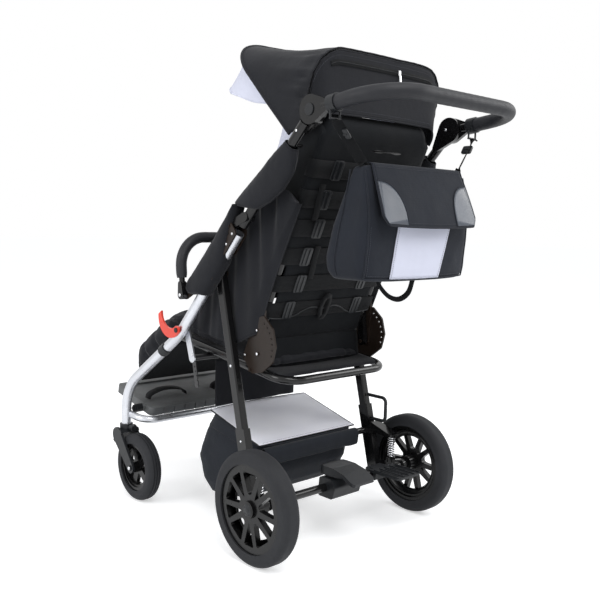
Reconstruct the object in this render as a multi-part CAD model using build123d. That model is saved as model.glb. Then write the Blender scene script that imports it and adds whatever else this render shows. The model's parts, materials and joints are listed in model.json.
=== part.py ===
from build123d import *
from math import cos, sin, tan, radians, pi, hypot
import os

# Special needs stroller, in millimetres: +X is the occupant's left, +Y the rear, +Z up.
# Stations along Y are counted from the rear axle while modelling, then moved by AXLE_Y.

# Wheels and stance
AXLE_Y = 218.9            # rear axle behind the middle of the length
REAR_WHEEL_R = 145.0
REAR_TYRE_W = 50.0
REAR_RIM_R = 112.0
REAR_TRACK = 604.0
FRONT_WHEEL_R = 102.0
FRONT_TYRE_W = 44.0
FRONT_RIM_R = 72.0
SWIVEL_X = 278.0
SWIVEL_Y = -664.0
CASTER_TRAIL = 75.0
RUN_FIT = 0.05            # radial clearance of a running shaft
GAP = 0.3                 # clearance between neighbouring pieces
REAR_AXLE_R = 6.0
FRONT_AXLE_R = 5.0

# Front frame
TUBE_R = 15.0
TUBE_WALL = 2.0
TUBE_TOP = (262.0, -131.0, 824.0)
TUBE_KNEE = (270.0, -386.0, 529.0)
TUBE_FOOT_Z = 222.0
TUBE_ELBOW_Z = 335.0
KNEE_BEND = 400.0
ELBOW_BEND = 140.0
CROSS_R = 11.0
CROSS_Y = SWIVEL_Y + 78.0
CROSS_Z = 240.0
CROSS_BEND = 50.0
FOLD_PIN = (-149.5, 842.5)
FOLD_PIN_R = 6.0
BRACKET_T = 3.0
BRACKET_GRIP = 62.0       # how far the fold bracket holds the silver tube

# Upper frame and handle
UPPER_R = 13.0
HUB = (133.0, 1111.0)     # handle hinge, in side view
HUB_X = 260.0
HUB_R = 34.0
HUB_HALF = 12.0
BUTTON_R = 14.0
HANDLE_R = 12.0
GRIP_R = 18.0
GRIP_START = 40.0         # foam begins this far behind the hinge
HANDLE_REACH = 230.0
HANDLE_RISE = 7.0         # degrees
HANDLE_BEND = 110.0

# Rear legs and axle
LEG_X = REAR_TRACK / 2 - 64.0
LEG_W = 22.0
LEG_D = 28.0
LEG_WALL = 2.0
LEG_PIVOT = (-236.0, 712.0)
LEG_PIN_R = 6.0
ARM_PIVOT = (-90.0, 122.0)
ARM_PIN_R = 6.0
SOCKET_L = 190.0
SOCKET_WALL = 4.0
ARM_T = 11.0
BEAM_R = 11.0
REAR_BAR = (-118.0, 232.0)
REAR_BAR_R = 10.0
SPRING_Y = -40.0
SPRING_X = LEG_X + 18.0
SPRING_R = 10.5
SPRING_WIRE_R = 1.6
SPRING_TURNS = 9
SPRING_LOW = 160.0
SPRING_HIGH = 224.0

# Seat and back
RAIL_X = 195.0
RAIL_R = 11.0
SEAT_REAR = (-13.0, 445.0)
SEAT_TILT = 7.46          # degrees, front edge up
SEAT_LENGTH = 491.0
SEAT_BEND = 60.0
LUG_AT = 335.0            # seat cross tube, along the rails from the rear loop
LUG_BAR_R = 9.0
PIVOT = (-109.0, 509.0)   # back hinge
PIVOT_R = 5.0
PLATE_X = 207.0
PLATE_T = 5.0
BACK_LEAN = 24.0          # degrees from upright
BACK_SET = 40.0           # frame's line ahead of its hinge
BACK_X = 190.0
BACK_R = 10.0
BACK_H = 566.0
STRAP_COUNT = 6
STRAP_W = 46.0
STRAP_T = 2.5
CUSHION_T = 40.0
SEAT_PAD_T = 62.0
SEAT_PAD_REAR_T = 25.0
CUSHION_HALF = 178.0
SEAT_PAD_HALF = 192.0

# Leg rest, footrest and bumper
LEG_REST_DROP = 36.0      # degrees below level
LEG_REST_L = 285.0
LEG_REST_X = 165.0
LEG_REST_R = 9.0
REST_PIN_R = 7.0
CALF_T = 118.0
CALF_HALF = 180.0
FOOT_HINGE = (-650.0, 268.0)
FOOT_HALF = 226.0
FOOT_T = 26.0
FOOT_REAR = 46.0
FOOT_FRONT = 168.0
FOOT_TILT = 12.0
FOOT_PIN_R = 6.0
BUMPER_PIVOT = (-335.0, 650.0)
BUMPER_X = 294.0
BUMPER_R = 8.0
BUMPER_FOAM_R = 15.0
BUMPER_H = 158.0
BUMPER_LEAN = 6.0        # degrees forward
BUMPER_BEND = 80.0
HOOK_PIVOT = (-369.0, 548.0)

# Canopy, bag and basket
HOOD_PIVOT = (58.0, 1036.0)
HOOD_FOOT = 42.0
HOOD_HALF = 231.0
HOOD_T = 3.0
HOOD_NEST = 7.5           # how much wider the front part is than the rear part
HOOD_PIN_R = 4.0
VISOR_REACH = 382.0
BAG_HALF = 200.0
BAG_TOP = 990.0
BAG_BOTTOM = 722.0
FLAP_LOW = 852.0
FLAP_HALF = 172.0
CLIP_Y = 203.0
BASKET_HALF = 185.0
BASKET_WALL = 3.0

parts = {}


def keep(name, *solids):
    """Name a node and stand it in the object's own frame."""
    placed = [Pos(0, AXLE_Y, 0) * solid for shape in solids for solid in shape.solids()]
    parts[name] = placed[0] if len(placed) == 1 else Compound(children=placed)


def mirrored(shape):
    return mirror(shape, about=Plane.YZ)


def pair(name, left):
    """Left and right copies, each its own node."""
    keep(name + "_left", left)
    keep(name + "_right", mirrored(left))


def rod(radius, x0, x1, spot):
    """Round bar across the width at a (y, z) spot."""
    return Pos((x0 + x1) / 2, *spot) * Rot(0, 90, 0) * Cylinder(radius, abs(x1 - x0))


def slab(sketch, x0, x1):
    """Plate with a side-view outline between two stations across the width."""
    return Pos(x0, 0, 0) * extrude(Plane.YZ * sketch, x1 - x0)


def link(spot_a, radius_a, spot_b, radius_b):
    """Outline that wraps two circles."""
    rings = [Pos(*spot) * Circle(radius) for spot, radius in ((spot_a, radius_a), (spot_b, radius_b))]
    return make_hull(rings[0].edges() + rings[1].edges())


def outline(points, radius):
    """Closed outline with rounded corners."""
    return make_face(FilletPolyline(*points, radius=radius, close=True))


def bar(points, radius, bend=0.0, bore=0.0):
    """Round tube along straight runs and bends."""
    path = FilletPolyline(*points, radius=bend) if bend else Polyline(*points)
    ring = Plane(path @ 0, z_dir=path % 0)
    solid = sweep(ring * Circle(radius), path)
    return solid - sweep(ring * Circle(bore), path) if bore else solid


def along(a, b, distance):
    """Point on the line from a to b, at a distance from a."""
    a, b = Vector(*a), Vector(*b)
    return a + (b - a).normalized() * distance


def turned(profile):
    """Ring whose profile is (station along the axle, radius)."""
    return revolve(profile, Axis.X, 360)


# Silver side tubes and what they carry

elbow = (SWIVEL_X, SWIVEL_Y, TUBE_ELBOW_Z)
foot = (SWIVEL_X, SWIVEL_Y, TUBE_FOOT_Z)
front_tube = bar([foot, elbow, TUBE_KNEE, TUBE_TOP], TUBE_R, [ELBOW_BEND, KNEE_BEND], TUBE_R - TUBE_WALL)
pair("front_tube", front_tube)


def tube_station(z):
    """Centre of the straight upper run of the silver tube at a height."""
    share = (z - TUBE_KNEE[2]) / (TUBE_TOP[2] - TUBE_KNEE[2])
    return tuple(k + share * (t - k) for k, t in zip(TUBE_KNEE, TUBE_TOP))


cross_end_x = SWIVEL_X - 8.0
cross_corner_x = cross_end_x - 14.0
cross_left = [(cross_end_x, SWIVEL_Y + 2.0, CROSS_Z + 12.0), (cross_corner_x, CROSS_Y, CROSS_Z)]
cross_right = [(-x, y, z) for x, y, z in reversed(cross_left)]
tube_room = bar([foot, elbow, TUBE_KNEE, TUBE_TOP], TUBE_R + RUN_FIT, [ELBOW_BEND, KNEE_BEND])
front_cross = bar(cross_left + cross_right, CROSS_R, CROSS_BEND) - tube_room - mirrored(tube_room)
keep("front_cross_tube", front_cross.solids().sort_by(SortBy.VOLUME)[-1])

# Fold brackets: two cheeks on the top of each silver tube, joined by the hinge pin
tube_axis = (Vector(*TUBE_TOP) - Vector(*TUBE_KNEE)).normalized()
grip_low = Vector(*TUBE_TOP) - tube_axis * BRACKET_GRIP
cheek = link((grip_low.Y, grip_low.Z), 11.0, TUBE_TOP[1:], 11.0)
cheek += link(TUBE_TOP[1:], 11.0, FOLD_PIN, 12.0)
cheek_x = TUBE_TOP[0] + TUBE_R + 2.2
fold_bracket = slab(cheek, cheek_x, cheek_x + BRACKET_T)
inner_cheek_x = TUBE_TOP[0] - TUBE_R - GAP
fold_bracket += slab(cheek, inner_cheek_x - BRACKET_T, inner_cheek_x)
fold_bracket += rod(FOLD_PIN_R, inner_cheek_x - 6.0, cheek_x + BRACKET_T + 3.0, FOLD_PIN)
keep("fold_brackets", fold_bracket, mirrored(fold_bracket))

# Side brackets: clamp on the silver tube, pin for the rear leg, plate for the bumper bar
clamp_spot = tube_station(LEG_PIVOT[1])
clamp_plane = Plane(clamp_spot, z_dir=tube_axis)
clamp = clamp_plane * (Cylinder(TUBE_R + 5.0, 46.0) - Cylinder(TUBE_R + GAP, 46.0))
leg_outer = LEG_X + LEG_W / 2
clamp = split(clamp, Plane.YZ.offset(leg_outer + 0.6), keep=Keep.TOP)
plate_in = BUMPER_X - BUMPER_FOAM_R + 1.5
bumper_plate = link(BUMPER_PIVOT, 13.0, (clamp_spot[1], clamp_spot[2]), 17.0)
tube_hole = clamp_plane * Cylinder(TUBE_R + GAP, 260.0)
side_bracket = clamp + slab(bumper_plate, plate_in, plate_in + 4.0)
side_bracket += rod(5.0, plate_in + 4.0, BUMPER_X + 10.0, BUMPER_PIVOT)
leg_pin = rod(LEG_PIN_R, LEG_X - LEG_W / 2 - 4.0, clamp_spot[0], LEG_PIVOT)
leg_pin += rod(9.0, LEG_X - LEG_W / 2 - 5.9, LEG_X - LEG_W / 2 - GAP, LEG_PIVOT)
side_bracket = side_bracket + leg_pin - tube_hole
keep("side_brackets", side_bracket, mirrored(side_bracket))

# Seat frame, its lugs on the silver tubes and the cross tube under the rails
SEAT = Pos(0, *SEAT_REAR) * Rot(-SEAT_TILT, 0, 0)


def seat_point(x, forward, up):
    """A point of the seat, forward of the rear loop and above the rails."""
    t = radians(SEAT_TILT)
    return (x, SEAT_REAR[0] - forward * cos(t) + up * sin(t), SEAT_REAR[1] + forward * sin(t) + up * cos(t))


rail = [seat_point(RAIL_X, SEAT_LENGTH, 0), seat_point(RAIL_X, 0, 0)]
rail += [(-x, y, z) for x, y, z in reversed(rail)]
LEG_HINGE = seat_point(0, SEAT_LENGTH + 14.0, 0)[1:]
rail_eye = slab(link(seat_point(0, SEAT_LENGTH - 8.0, 0)[1:], RAIL_R - 1.0, LEG_HINGE, 12.0), RAIL_X - 5, RAIL_X + 5)
rail_eye -= rod(REST_PIN_R + RUN_FIT, RAIL_X - 20, RAIL_X + 20, LEG_HINGE)
seat_frame = bar(rail, RAIL_R, SEAT_BEND) - rod(14.0, -300, 300, LEG_HINGE)
keep("seat_frame", seat_frame + rail_eye + mirrored(rail_eye))

lug_bar = seat_point(0, LUG_AT, -RAIL_R - LUG_BAR_R - GAP)[1:]
lug_x = leg_outer + 0.6
lug_top = tube_station(TUBE_KNEE[2] + 14.0)
lug = slab(link(lug_bar, 13.0, (lug_top[1], lug_top[2]), 12.0), lug_x, lug_top[0] - TUBE_R - GAP)
notched = outline([(lug_bar[0] - 8, lug_bar[1] + 6), (lug_bar[0] + 9, lug_bar[1] + 6),
                   (lug_bar[0] + 27, lug_bar[1] - 82), (lug_bar[0] + 10, lug_bar[1] - 82)], 4.0)
notches = [Pos(lug_bar[0] + 8 + 4.2 * k, lug_bar[1] - 24 - 12 * k) * Circle(2.6) for k in range(5)]
strip = slab(notched - notches, lug_x - 3.4, lug_x - GAP)
cross = rod(LUG_BAR_R, -(lug_x - 3.8), lug_x - 3.8, lug_bar)
keep("seat_mount", lug, mirrored(lug), strip, mirrored(strip), cross)


def cushion(sections):
    """Soft pad lofted through (plane, half width, thickness) sections: flat base, drawn-in sides, crown."""
    faces = []
    for plane, half, thick in sections:
        side = 0.62 * thick
        base = Line((-half, 0), (half, 0))
        right = ThreePointArc((half, 0), (half + 5, side / 2), (half - 4, side))
        crown = ThreePointArc((half - 4, side), (0, thick), (4 - half, side))
        left = ThreePointArc((4 - half, side), (-half - 5, side / 2), (-half, 0))
        faces.append(plane * make_face(base + right + crown + left))
    return loft(faces, ruled=True)


def seat_section(forward, half, thick):
    """Section of the seat cushion, square to the rails."""
    origin = seat_point(0, forward, RAIL_R + GAP)
    up = Vector(*seat_point(0, forward, 100)) - Vector(*seat_point(0, forward, 0))
    plane = Plane(origin, x_dir=(1, 0, 0), z_dir=Vector(1, 0, 0).cross(up))
    return plane, half, thick


seat_pad = cushion([seat_section(88, CUSHION_HALF - 10, SEAT_PAD_REAR_T - 7),
                    seat_section(110, CUSHION_HALF, SEAT_PAD_REAR_T),
                    seat_section(200, SEAT_PAD_HALF, SEAT_PAD_REAR_T + 4),
                    seat_section(290, SEAT_PAD_HALF, SEAT_PAD_T - 12),
                    seat_section(SEAT_LENGTH - 61, SEAT_PAD_HALF, SEAT_PAD_T),
                    seat_section(SEAT_LENGTH + 5, SEAT_PAD_HALF - 8, SEAT_PAD_T - 14)])
seat_channel = SEAT * Pos(0, 71 - SEAT_LENGTH, RAIL_R + GAP + SEAT_PAD_T + 1) * Rot(0, 90, 0) * Cylinder(4.0, 460)
keep("seat_cushion", seat_pad - seat_channel)

# Side panels: hanging cloth between the seat and the side tubes, with upright folds
PANEL_X = 218.0
FOLD_PITCH = 46.0
FOLD_DEPTH = 2.4
CLOTH_T = 2.0
panel_y0, panel_y1 = -425.0, 75.0


def wave(x):
    """Row of shallow arcs along Y, the line of the cloth's folds seen from above."""
    count = int((panel_y1 - panel_y0) / FOLD_PITCH)
    run = Curve()
    for k in range(count):
        y = panel_y0 + k * FOLD_PITCH
        bulge = FOLD_DEPTH if k % 2 else -FOLD_DEPTH
        run += ThreePointArc((x, y), (x + bulge, y + FOLD_PITCH / 2), (x, y + FOLD_PITCH))
    return run


near, far = wave(PANEL_X), wave(PANEL_X + CLOTH_T)
ribbon = make_face(near + far + [Line(near @ 0, far @ 0), Line(near @ 1, far @ 1)])
panel_shape = outline([(-415, 568), (-300, 666), (-150, 800), (-30, 890), (22, 893), (-25, 700), (-150, 530)], 14.0)
side_panel = extrude(Pos(0, 0, 480) * ribbon, 460) & slab(panel_shape, PANEL_X - 8, PANEL_X + 12)
keep("side_panels", side_panel, mirrored(side_panel))

# Rivets, bolts and the footrest's hinge knobs
knob_x = SWIVEL_X - TUBE_R - GAP
foot_ear = FOOT_HALF + 8.0
foot_knob = rod(FOOT_PIN_R, FOOT_HALF - 12.0, knob_x + 1.2, FOOT_HINGE) + rod(13.0, foot_ear + GAP, knob_x - 8.0, FOOT_HINGE)
foot_knob += rod(11.0, knob_x - 9.0, knob_x - 3.0, FOOT_HINGE)
hook_x = TUBE_KNEE[0] + TUBE_R + 1.6
hook_screw = rod(4.0, hook_x - 1.2, hook_x + 9.0, HOOK_PIVOT) + rod(7.0, hook_x + 6.6, hook_x + 9.0, HOOK_PIVOT)
keep("frame_bolts", foot_knob, mirrored(foot_knob), hook_screw)

# Red fold-lock hook on the left side tube: a crescent that opens forwards and up
hook_y, hook_z = HOOK_PIVOT
heel, tip = (hook_y + 8, hook_z - 9), (hook_y - 91, hook_z + 38)
tip_in, heel_in = (hook_y - 76, hook_z + 48), (hook_y - 4, hook_z + 11)
belly = ThreePointArc(heel, (hook_y - 46, hook_z - 24), tip)
throat = ThreePointArc(tip_in, (hook_y - 44, hook_z + 4), heel_in)
crescent = make_face(belly + Line(tip, tip_in) + throat + Line(heel_in, heel)) + Pos(*HOOK_PIVOT) * Circle(12.0)
fold_hook = slab(crescent, hook_x + GAP, hook_x + 6.0) - rod(4.0 + RUN_FIT, hook_x - 2, hook_x + 12, HOOK_PIVOT)
keep("fold_lock_hook", fold_hook)

# Upper tubes: tongue on the fold pin below, hinge hub half above

upper_low = (TUBE_TOP[0], TUBE_TOP[1] + tube_axis.Y * 26.0, TUBE_TOP[2] + tube_axis.Z * 26.0)
hub_centre = (HUB_X, *HUB)
upper_end = along(hub_centre, upper_low, HUB_R + 2.0)
upper = bar([upper_low, tuple(upper_end)], UPPER_R, bore=UPPER_R - TUBE_WALL)
tongue_half = TUBE_R - 1.0
tongue_top = along(upper_low, hub_centre, 30.0)
tongue = link(FOLD_PIN, 10.4, (tongue_top.Y, tongue_top.Z), 12.0)
upper += slab(tongue, TUBE_TOP[0] - tongue_half, TUBE_TOP[0] + tongue_half)
upper -= rod(FOLD_PIN_R + RUN_FIT, 200.0, 300.0, FOLD_PIN)
hub_in = HUB_X - HUB_HALF - 1.5
hub_out = HUB_X - 1.5
neck = along(hub_centre, upper_low, 62.0)
upper += slab(link(HUB, HUB_R, (neck.Y, neck.Z), 10.0), hub_in, hub_out)
upper += rod(HOOD_PIN_R, HOOD_HALF - 8.0, HUB_X - UPPER_R + 3.0, HOOD_PIVOT)
pair("upper_tube", upper)

# Push handle: disc halves, U bar and foam grip
disc_in = hub_out + GAP
disc_out = disc_in + HUB_HALF
rise = radians(HANDLE_RISE)


def handle_point(x, back):
    """A point on the handle's plane, behind the hinge."""
    return (x, HUB[0] + back * cos(rise), HUB[1] + back * sin(rise))


def handle_path(start):
    half = [handle_point(HUB_X, start), handle_point(HUB_X, HANDLE_REACH)]
    return half + [(-x, y, z) for x, y, z in reversed(half)]


arm_spot = handle_point(0, HUB_R + 22.0)[1:]
disc = slab(link(HUB, HUB_R, arm_spot, 10.0), disc_in, disc_out)
disc -= rod(BUTTON_R + GAP, disc_in + 4.0, disc_out + 1.0, HUB)
handle = bar(handle_path(HUB_R + 3.0), HANDLE_R, HANDLE_BEND) + disc + mirrored(disc)
keep("handle_bar", handle)
keep("handle_grip", bar(handle_path(GRIP_START + 18.0), GRIP_R, HANDLE_BEND, HANDLE_R + GAP / 2)
     - slab(link(HUB, HUB_R + GAP, arm_spot, 10.0 + GAP), -300, 300))
pair("handle_button", rod(BUTTON_R, disc_in + 7.5, disc_out + 2.5, HUB))

# Rear legs: rectangular tube, lower socket with the arm pivot and the spring's upper seat

leg_run = Vector(0, ARM_PIVOT[0] - LEG_PIVOT[0], ARM_PIVOT[1] - LEG_PIVOT[1])
leg_plane = Plane((LEG_X, *LEG_PIVOT), x_dir=(1, 0, 0), z_dir=leg_run)
leg_length = leg_run.length


def leg_box(width, depth, start, end):
    """Box along the leg, counted down from its top pivot."""
    return leg_plane * Pos(0, 0, (start + end) / 2) * Box(width, depth, end - start)


leg_top = -16.0
leg = leg_box(LEG_W, LEG_D, leg_top, leg_length - 20)
leg -= leg_box(LEG_W - 2 * LEG_WALL, LEG_D - 2 * LEG_WALL, 24, leg_length - 40)
leg += leg_box(LEG_W, LEG_D + 2 * SOCKET_WALL, leg_length - SOCKET_L, leg_length + 16)
leg = fillet(leg.edges().filter_by(Axis(origin=(0, 0, 0), direction=leg_run)).group_by(SortBy.LENGTH)[-1], 4.0)
leg -= rod(LEG_PIN_R + RUN_FIT, LEG_X - 40, LEG_X + 40, LEG_PIVOT)
seat_lug = outline([(REAR_BAR[0] + 10, SPRING_HIGH + 4), (SPRING_Y + 13, SPRING_HIGH + GAP),
                    (SPRING_Y + 13, SPRING_HIGH + 9), (REAR_BAR[0] + 12, SPRING_HIGH + 34)], 2.0)
leg += slab(seat_lug, LEG_X - 6, SPRING_X + SPRING_R + 1.5)
leg -= rod(ARM_PIN_R + RUN_FIT, LEG_X - 40, LEG_X + 40, ARM_PIVOT)
leg -= rod(REAR_BAR_R + RUN_FIT, LEG_X - 40, LEG_X - 2, REAR_BAR)
pair("rear_leg", leg)
keep("rear_cross_bar", rod(REAR_BAR_R, -(LEG_X - 2.5), LEG_X - 2.5, REAR_BAR))

LOOP_Z = (338.0, 268.0)
LOOP_REAR = -52.0


def leg_back(z):
    """Rear face of the leg's socket at a height."""
    slope = -leg_run.Y / leg_run.Z
    return LEG_PIVOT[0] + (LEG_PIVOT[1] - z) * slope + (LEG_D / 2 + SOCKET_WALL) * hypot(1, slope) + 1.6


loop_points = [(-LEG_X, leg_back(LOOP_Z[0]), LOOP_Z[0]), (-LEG_X, LOOP_REAR, LOOP_Z[0]),
               (-LEG_X, LOOP_REAR, LOOP_Z[1]), (-LEG_X, leg_back(LOOP_Z[1]), LOOP_Z[1])]
keep("grab_loop", bar(loop_points, 5.0, 14.0))

# Suspension beam: trailing arms, cross beam and wheel stubs, one rigid piece

arm_in = leg_outer + GAP
arm_out = arm_in + ARM_T
AXLE = (0.0, REAR_WHEEL_R)
arm = slab(link(ARM_PIVOT, 15.0, AXLE, 17.0), arm_in, arm_out)
arm += rod(ARM_PIN_R, LEG_X - LEG_W / 2 - 3.0, arm_in, ARM_PIVOT)
arm += Pos(SPRING_X, SPRING_Y, (SPRING_LOW + AXLE[1]) / 2) * Cylinder(SPRING_R + 1.5, SPRING_LOW - AXLE[1] - 2 * GAP)
hub_face = REAR_TRACK / 2 - REAR_TYRE_W / 2 - 4.0
axle_tip = REAR_TRACK / 2 + REAR_TYRE_W / 2 - 4.0
arm += rod(12.0, arm_out, hub_face - GAP, AXLE) + rod(REAR_AXLE_R, hub_face - GAP, axle_tip, AXLE)
beam = rod(BEAM_R, -arm_in - 1, arm_in + 1, AXLE)
keep("rear_axle", beam + arm + mirrored(arm))

# Coil springs between the arms and the legs: one unbroken wire, two tangent arcs to a quarter turn


def coil(spot_x, spot_y, low, high, radius, wire, turns):
    """Helix with straight ends one wire across, and the room left between its turns."""
    pitch = (high - low) / turns

    def spot(a):
        return Vector(spot_x + radius * cos(a), spot_y + radius * sin(a), low + pitch * a / (2 * pi))

    def way(a):
        return Vector(-radius * sin(a), radius * cos(a), pitch / (2 * pi)).normalized()

    last = turns * 2 * pi
    run = Curve() + Line(spot(0) - way(0) * 2 * wire, spot(0))
    for k in range(turns * 4):
        a0, a1 = k * pi / 2, (k + 1) * pi / 2
        span, total = spot(a1) - spot(a0), way(a0) + way(a1)
        rest = 4 - total.dot(total)
        reach = (((span.dot(total)) ** 2 + rest * span.dot(span)) ** 0.5 - span.dot(total)) / rest
        knee_a, knee_b = spot(a0) + way(a0) * reach, spot(a1) - way(a1) * reach
        middle = (knee_a + knee_b) / 2
        run += TangentArc(spot(a0), middle, tangent=way(a0))
        run += TangentArc(middle, spot(a1), tangent=knee_b - knee_a)
    run += Line(spot(last), spot(last) + way(last) * 2 * wire)
    ring = Plane(spot(0) - way(0) * 2 * wire, z_dir=way(0))
    return sweep(ring * Circle(wire), run), pitch - 2 * wire


spring_span = (SPRING_LOW + SPRING_WIRE_R + GAP, SPRING_HIGH - SPRING_WIRE_R)
spring, spring_gap = coil(SPRING_X, SPRING_Y, *spring_span, SPRING_R - SPRING_WIRE_R, SPRING_WIRE_R, SPRING_TURNS)
print("least gap between the spring's turns, mm:", round(spring_gap, 2))
keep("rear_springs", spring, mirrored(spring))

# Brake on the beam, and the step plate on its right

housing_x0, housing_x1 = -42.0, 62.0
housing_shape = outline([(-26, 118), (30, 118), (40, 150), (24, 172), (-20, 172)], 8.0)
housing = slab(housing_shape, housing_x0, housing_x1) - rod(BEAM_R + RUN_FIT, -200, 200, AXLE)
pedal_axis = (14.0, 184.0)
housing += slab(link(pedal_axis, 6.0, (8.0, 164.0), 8.0), housing_x0 + 24, housing_x1 - 24)
housing -= rod(3.0 + RUN_FIT, -200, 200, pedal_axis)
keep("brake_housing", housing)

pedal_x0, pedal_x1 = -30.0, 55.0
pedal_shape = outline([(-45, 180), (-38, 196), (-20, 201), (24, 201), (62, 193), (101, 174), (99, 166),
                       (60, 182), (36, 178), (-42, 176)], 1.5)
pedal_plan = outline([(pedal_x0, -45), (pedal_x1, -45), (pedal_x1, 101), (pedal_x0, 101)], [38.0, 38.0, 12.0, 12.0])
pedal = slab(pedal_shape, pedal_x0, pedal_x1) & extrude(Pos(0, 0, 150) * pedal_plan, 80)
pedal -= slab(link(pedal_axis, 9.0, (8.0, 164.0), 11.0), housing_x0 + 24 - GAP, housing_x1 - 24 + GAP)
pedal += rod(3.0, pedal_x0 + 4, pedal_x1 - 4, pedal_axis)
keep("brake_pedal", pedal)

step_x0, step_x1 = -196.0, -100.0
step_top = REAR_WHEEL_R + BEAM_R + 6.0
step_pad = Pos((step_x0 + step_x1) / 2, 70, step_top) * Box(step_x1 - step_x0, 108, 6)
step_pad -= [Pos(step_x0 + 15 + 22 * k, 74, step_top) * Box(8, 66, 10) for k in range(4)]
step_pad = fillet(step_pad.edges().filter_by(Axis.Z).group_by(Axis.Y)[-1], 12.0)
step_ribs = [Pos(step_x0 + 4 + 22 * k, 74, step_top + 4) * Box(3, 90, 3) for k in range(5)]
step_clamp = slab(outline([(-18, 130), (20, 130), (24, step_top + 1), (-18, step_top + 1)], 5.0), step_x0 + 20, step_x1 - 20)
step_plate = step_pad + step_ribs + step_clamp - rod(BEAM_R + RUN_FIT, -240, 0, AXLE)
keep("step_plate", step_plate)

# Wheels


def tyre(radius, rim, width, crown, grooves):
    """Tyre with a rounded tread and a number of grooves round it."""
    profile = make_face(Polyline((-width / 2, rim), (-width / 2, radius), (width / 2, radius), (width / 2, rim), close=True))
    profile = fillet(profile.vertices().group_by(Axis.Y)[-1], crown)
    for k in range(grooves):
        station = (k - (grooves - 1) / 2) * width / 5
        profile -= Pos(station, radius) * Rectangle(2.6, 5.0)
    return turned(profile)


def rim(radius, width, hub_r, hub_half, bore, web):
    """Rim barrel, hub and web, before its openings are cut."""
    barrel = Pos(0, radius - 5.0) * Rectangle(width, 10.0)
    seat = Pos(0, radius - 12.0) * Rectangle(width * 0.72, 8.0)
    hub = Pos(0, (hub_r + bore) / 2) * Rectangle(2 * hub_half, hub_r - bore)
    disc = Pos(web[0], (radius + bore) / 2) * Rectangle(web[1], radius - bore - 6.0)
    return turned(barrel + seat + hub + disc)


def opening(inner_r, inner_half, outer_r, outer_half, spread, angle):
    """Window of a rim: a narrow rounded end towards the hub, a wide one at the barrel."""
    spots = [(inner_r, 0.0, inner_half), (outer_r, spread, outer_half), (outer_r, -spread, outer_half)]
    rings = [Pos(r * cos(radians(angle + a)), r * sin(radians(angle + a))) * Circle(s) for r, a, s in spots]
    return make_hull(rings[0].edges() + rings[1].edges() + rings[2].edges())


rear_rim = rim(REAR_RIM_R - RUN_FIT, 40.0, 22.0, 27.0, REAR_AXLE_R + RUN_FIT, (12.0, 16.0))
windows = [opening(47.0, 9.0, 89.0, 5.0, 13.5, 72 * k + 90) for k in range(5)]
windows += [opening(36.0, 1.6, 91.0, 3.5, 9.0, 72 * k + 54) for k in range(5)]
for window in windows:
    rear_rim -= slab(window, -40, 40)
rear_tyre = tyre(REAR_WHEEL_R, REAR_RIM_R, REAR_TYRE_W, 15.0, 0)
for side, hand in (("left", 1), ("right", -1)):
    place = Pos(hand * REAR_TRACK / 2, *AXLE) * Rot(0, 0, 0 if hand > 0 else 180)
    keep("rear_rim_" + side, place * (rear_rim + turned(Pos(26.0, 9.0) * Rectangle(3.0, 18.0))))
    keep("rear_tyre_" + side, place * rear_tyre)

front_rim = rim(FRONT_RIM_R - RUN_FIT, 34.0, 16.0, 23.0, FRONT_AXLE_R + RUN_FIT, (0.0, 12.0))
for k in range(5):
    front_rim -= slab(opening(26.0, 5.0, 50.0, 5.0, 17.0, 72 * k), -30, 30)
front_tyre = tyre(FRONT_WHEEL_R, FRONT_RIM_R, FRONT_TYRE_W, 17.0, 3)

# Caster fork: stem in the side tube, arch over the tyre, two arms and the wheel's axle

wheel_spot = (SWIVEL_Y + CASTER_TRAIL, FRONT_WHEEL_R)
arm_face = 25.0
arch = Circle(FRONT_WHEEL_R + 19) - Circle(FRONT_WHEEL_R + 7)
wedge = make_face(Polyline((0, 0), (-70, 130), (-138, 92), close=True))
arch = Pos(*wheel_spot) * (arch & wedge)
fork = slab(arch, -arm_face - 7, arm_face + 7)
blade = link(wheel_spot, 16.0, (SWIVEL_Y - 4, FRONT_WHEEL_R + 86.0), 24.0)
fork += slab(blade, arm_face, arm_face + 7) + slab(blade, -arm_face - 7, -arm_face)
fork += Pos(0, SWIVEL_Y, TUBE_FOOT_Z - 20 - GAP) * Cylinder(20.0, 40.0)
fork -= rod(FRONT_WHEEL_R + 7, -arm_face, arm_face, wheel_spot)
fork += Pos(0, SWIVEL_Y, TUBE_FOOT_Z + 20) * Cylinder(TUBE_R - TUBE_WALL - RUN_FIT, 44.0)
fork += rod(FRONT_AXLE_R, -arm_face - 1, arm_face + 1, wheel_spot)
fork += rod(8.0, arm_face + 6, arm_face + 10, wheel_spot) + rod(8.0, -arm_face - 10, -arm_face - 6, wheel_spot)
knob_z = TUBE_FOOT_Z - 9.0
knob_y = SWIVEL_Y + 20.0
fork -= Pos(0, knob_y, knob_z) * Rot(90, 0, 0) * Cylinder(4.0 + RUN_FIT, 30.0)
caster_knob = Pos(0, knob_y + 14 + 0.6, knob_z) * Rot(90, 0, 0) * Cylinder(8.0, 20.0)
caster_knob += Pos(0, knob_y + 2, knob_z) * Rot(90, 0, 0) * Cylinder(4.0, 20.0)
for side, hand in (("left", 1), ("right", -1)):
    place = Pos(hand * SWIVEL_X, 0, 0)
    keep("caster_fork_" + side, place * fork)
    keep("caster_knob_" + side, place * caster_knob)
    keep("front_rim_" + side, place * Pos(0, *wheel_spot) * front_rim)
    keep("front_tyre_" + side, place * Pos(0, *wheel_spot) * front_tyre)

# Back: plates on the seat rails, recline arms, back frame, straps, cushion and headrest

BACK = Pos(0, *PIVOT) * Rot(-BACK_LEAN, 0, 0) * Pos(0, -BACK_SET, 0)
lean = radians(BACK_LEAN)


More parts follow.
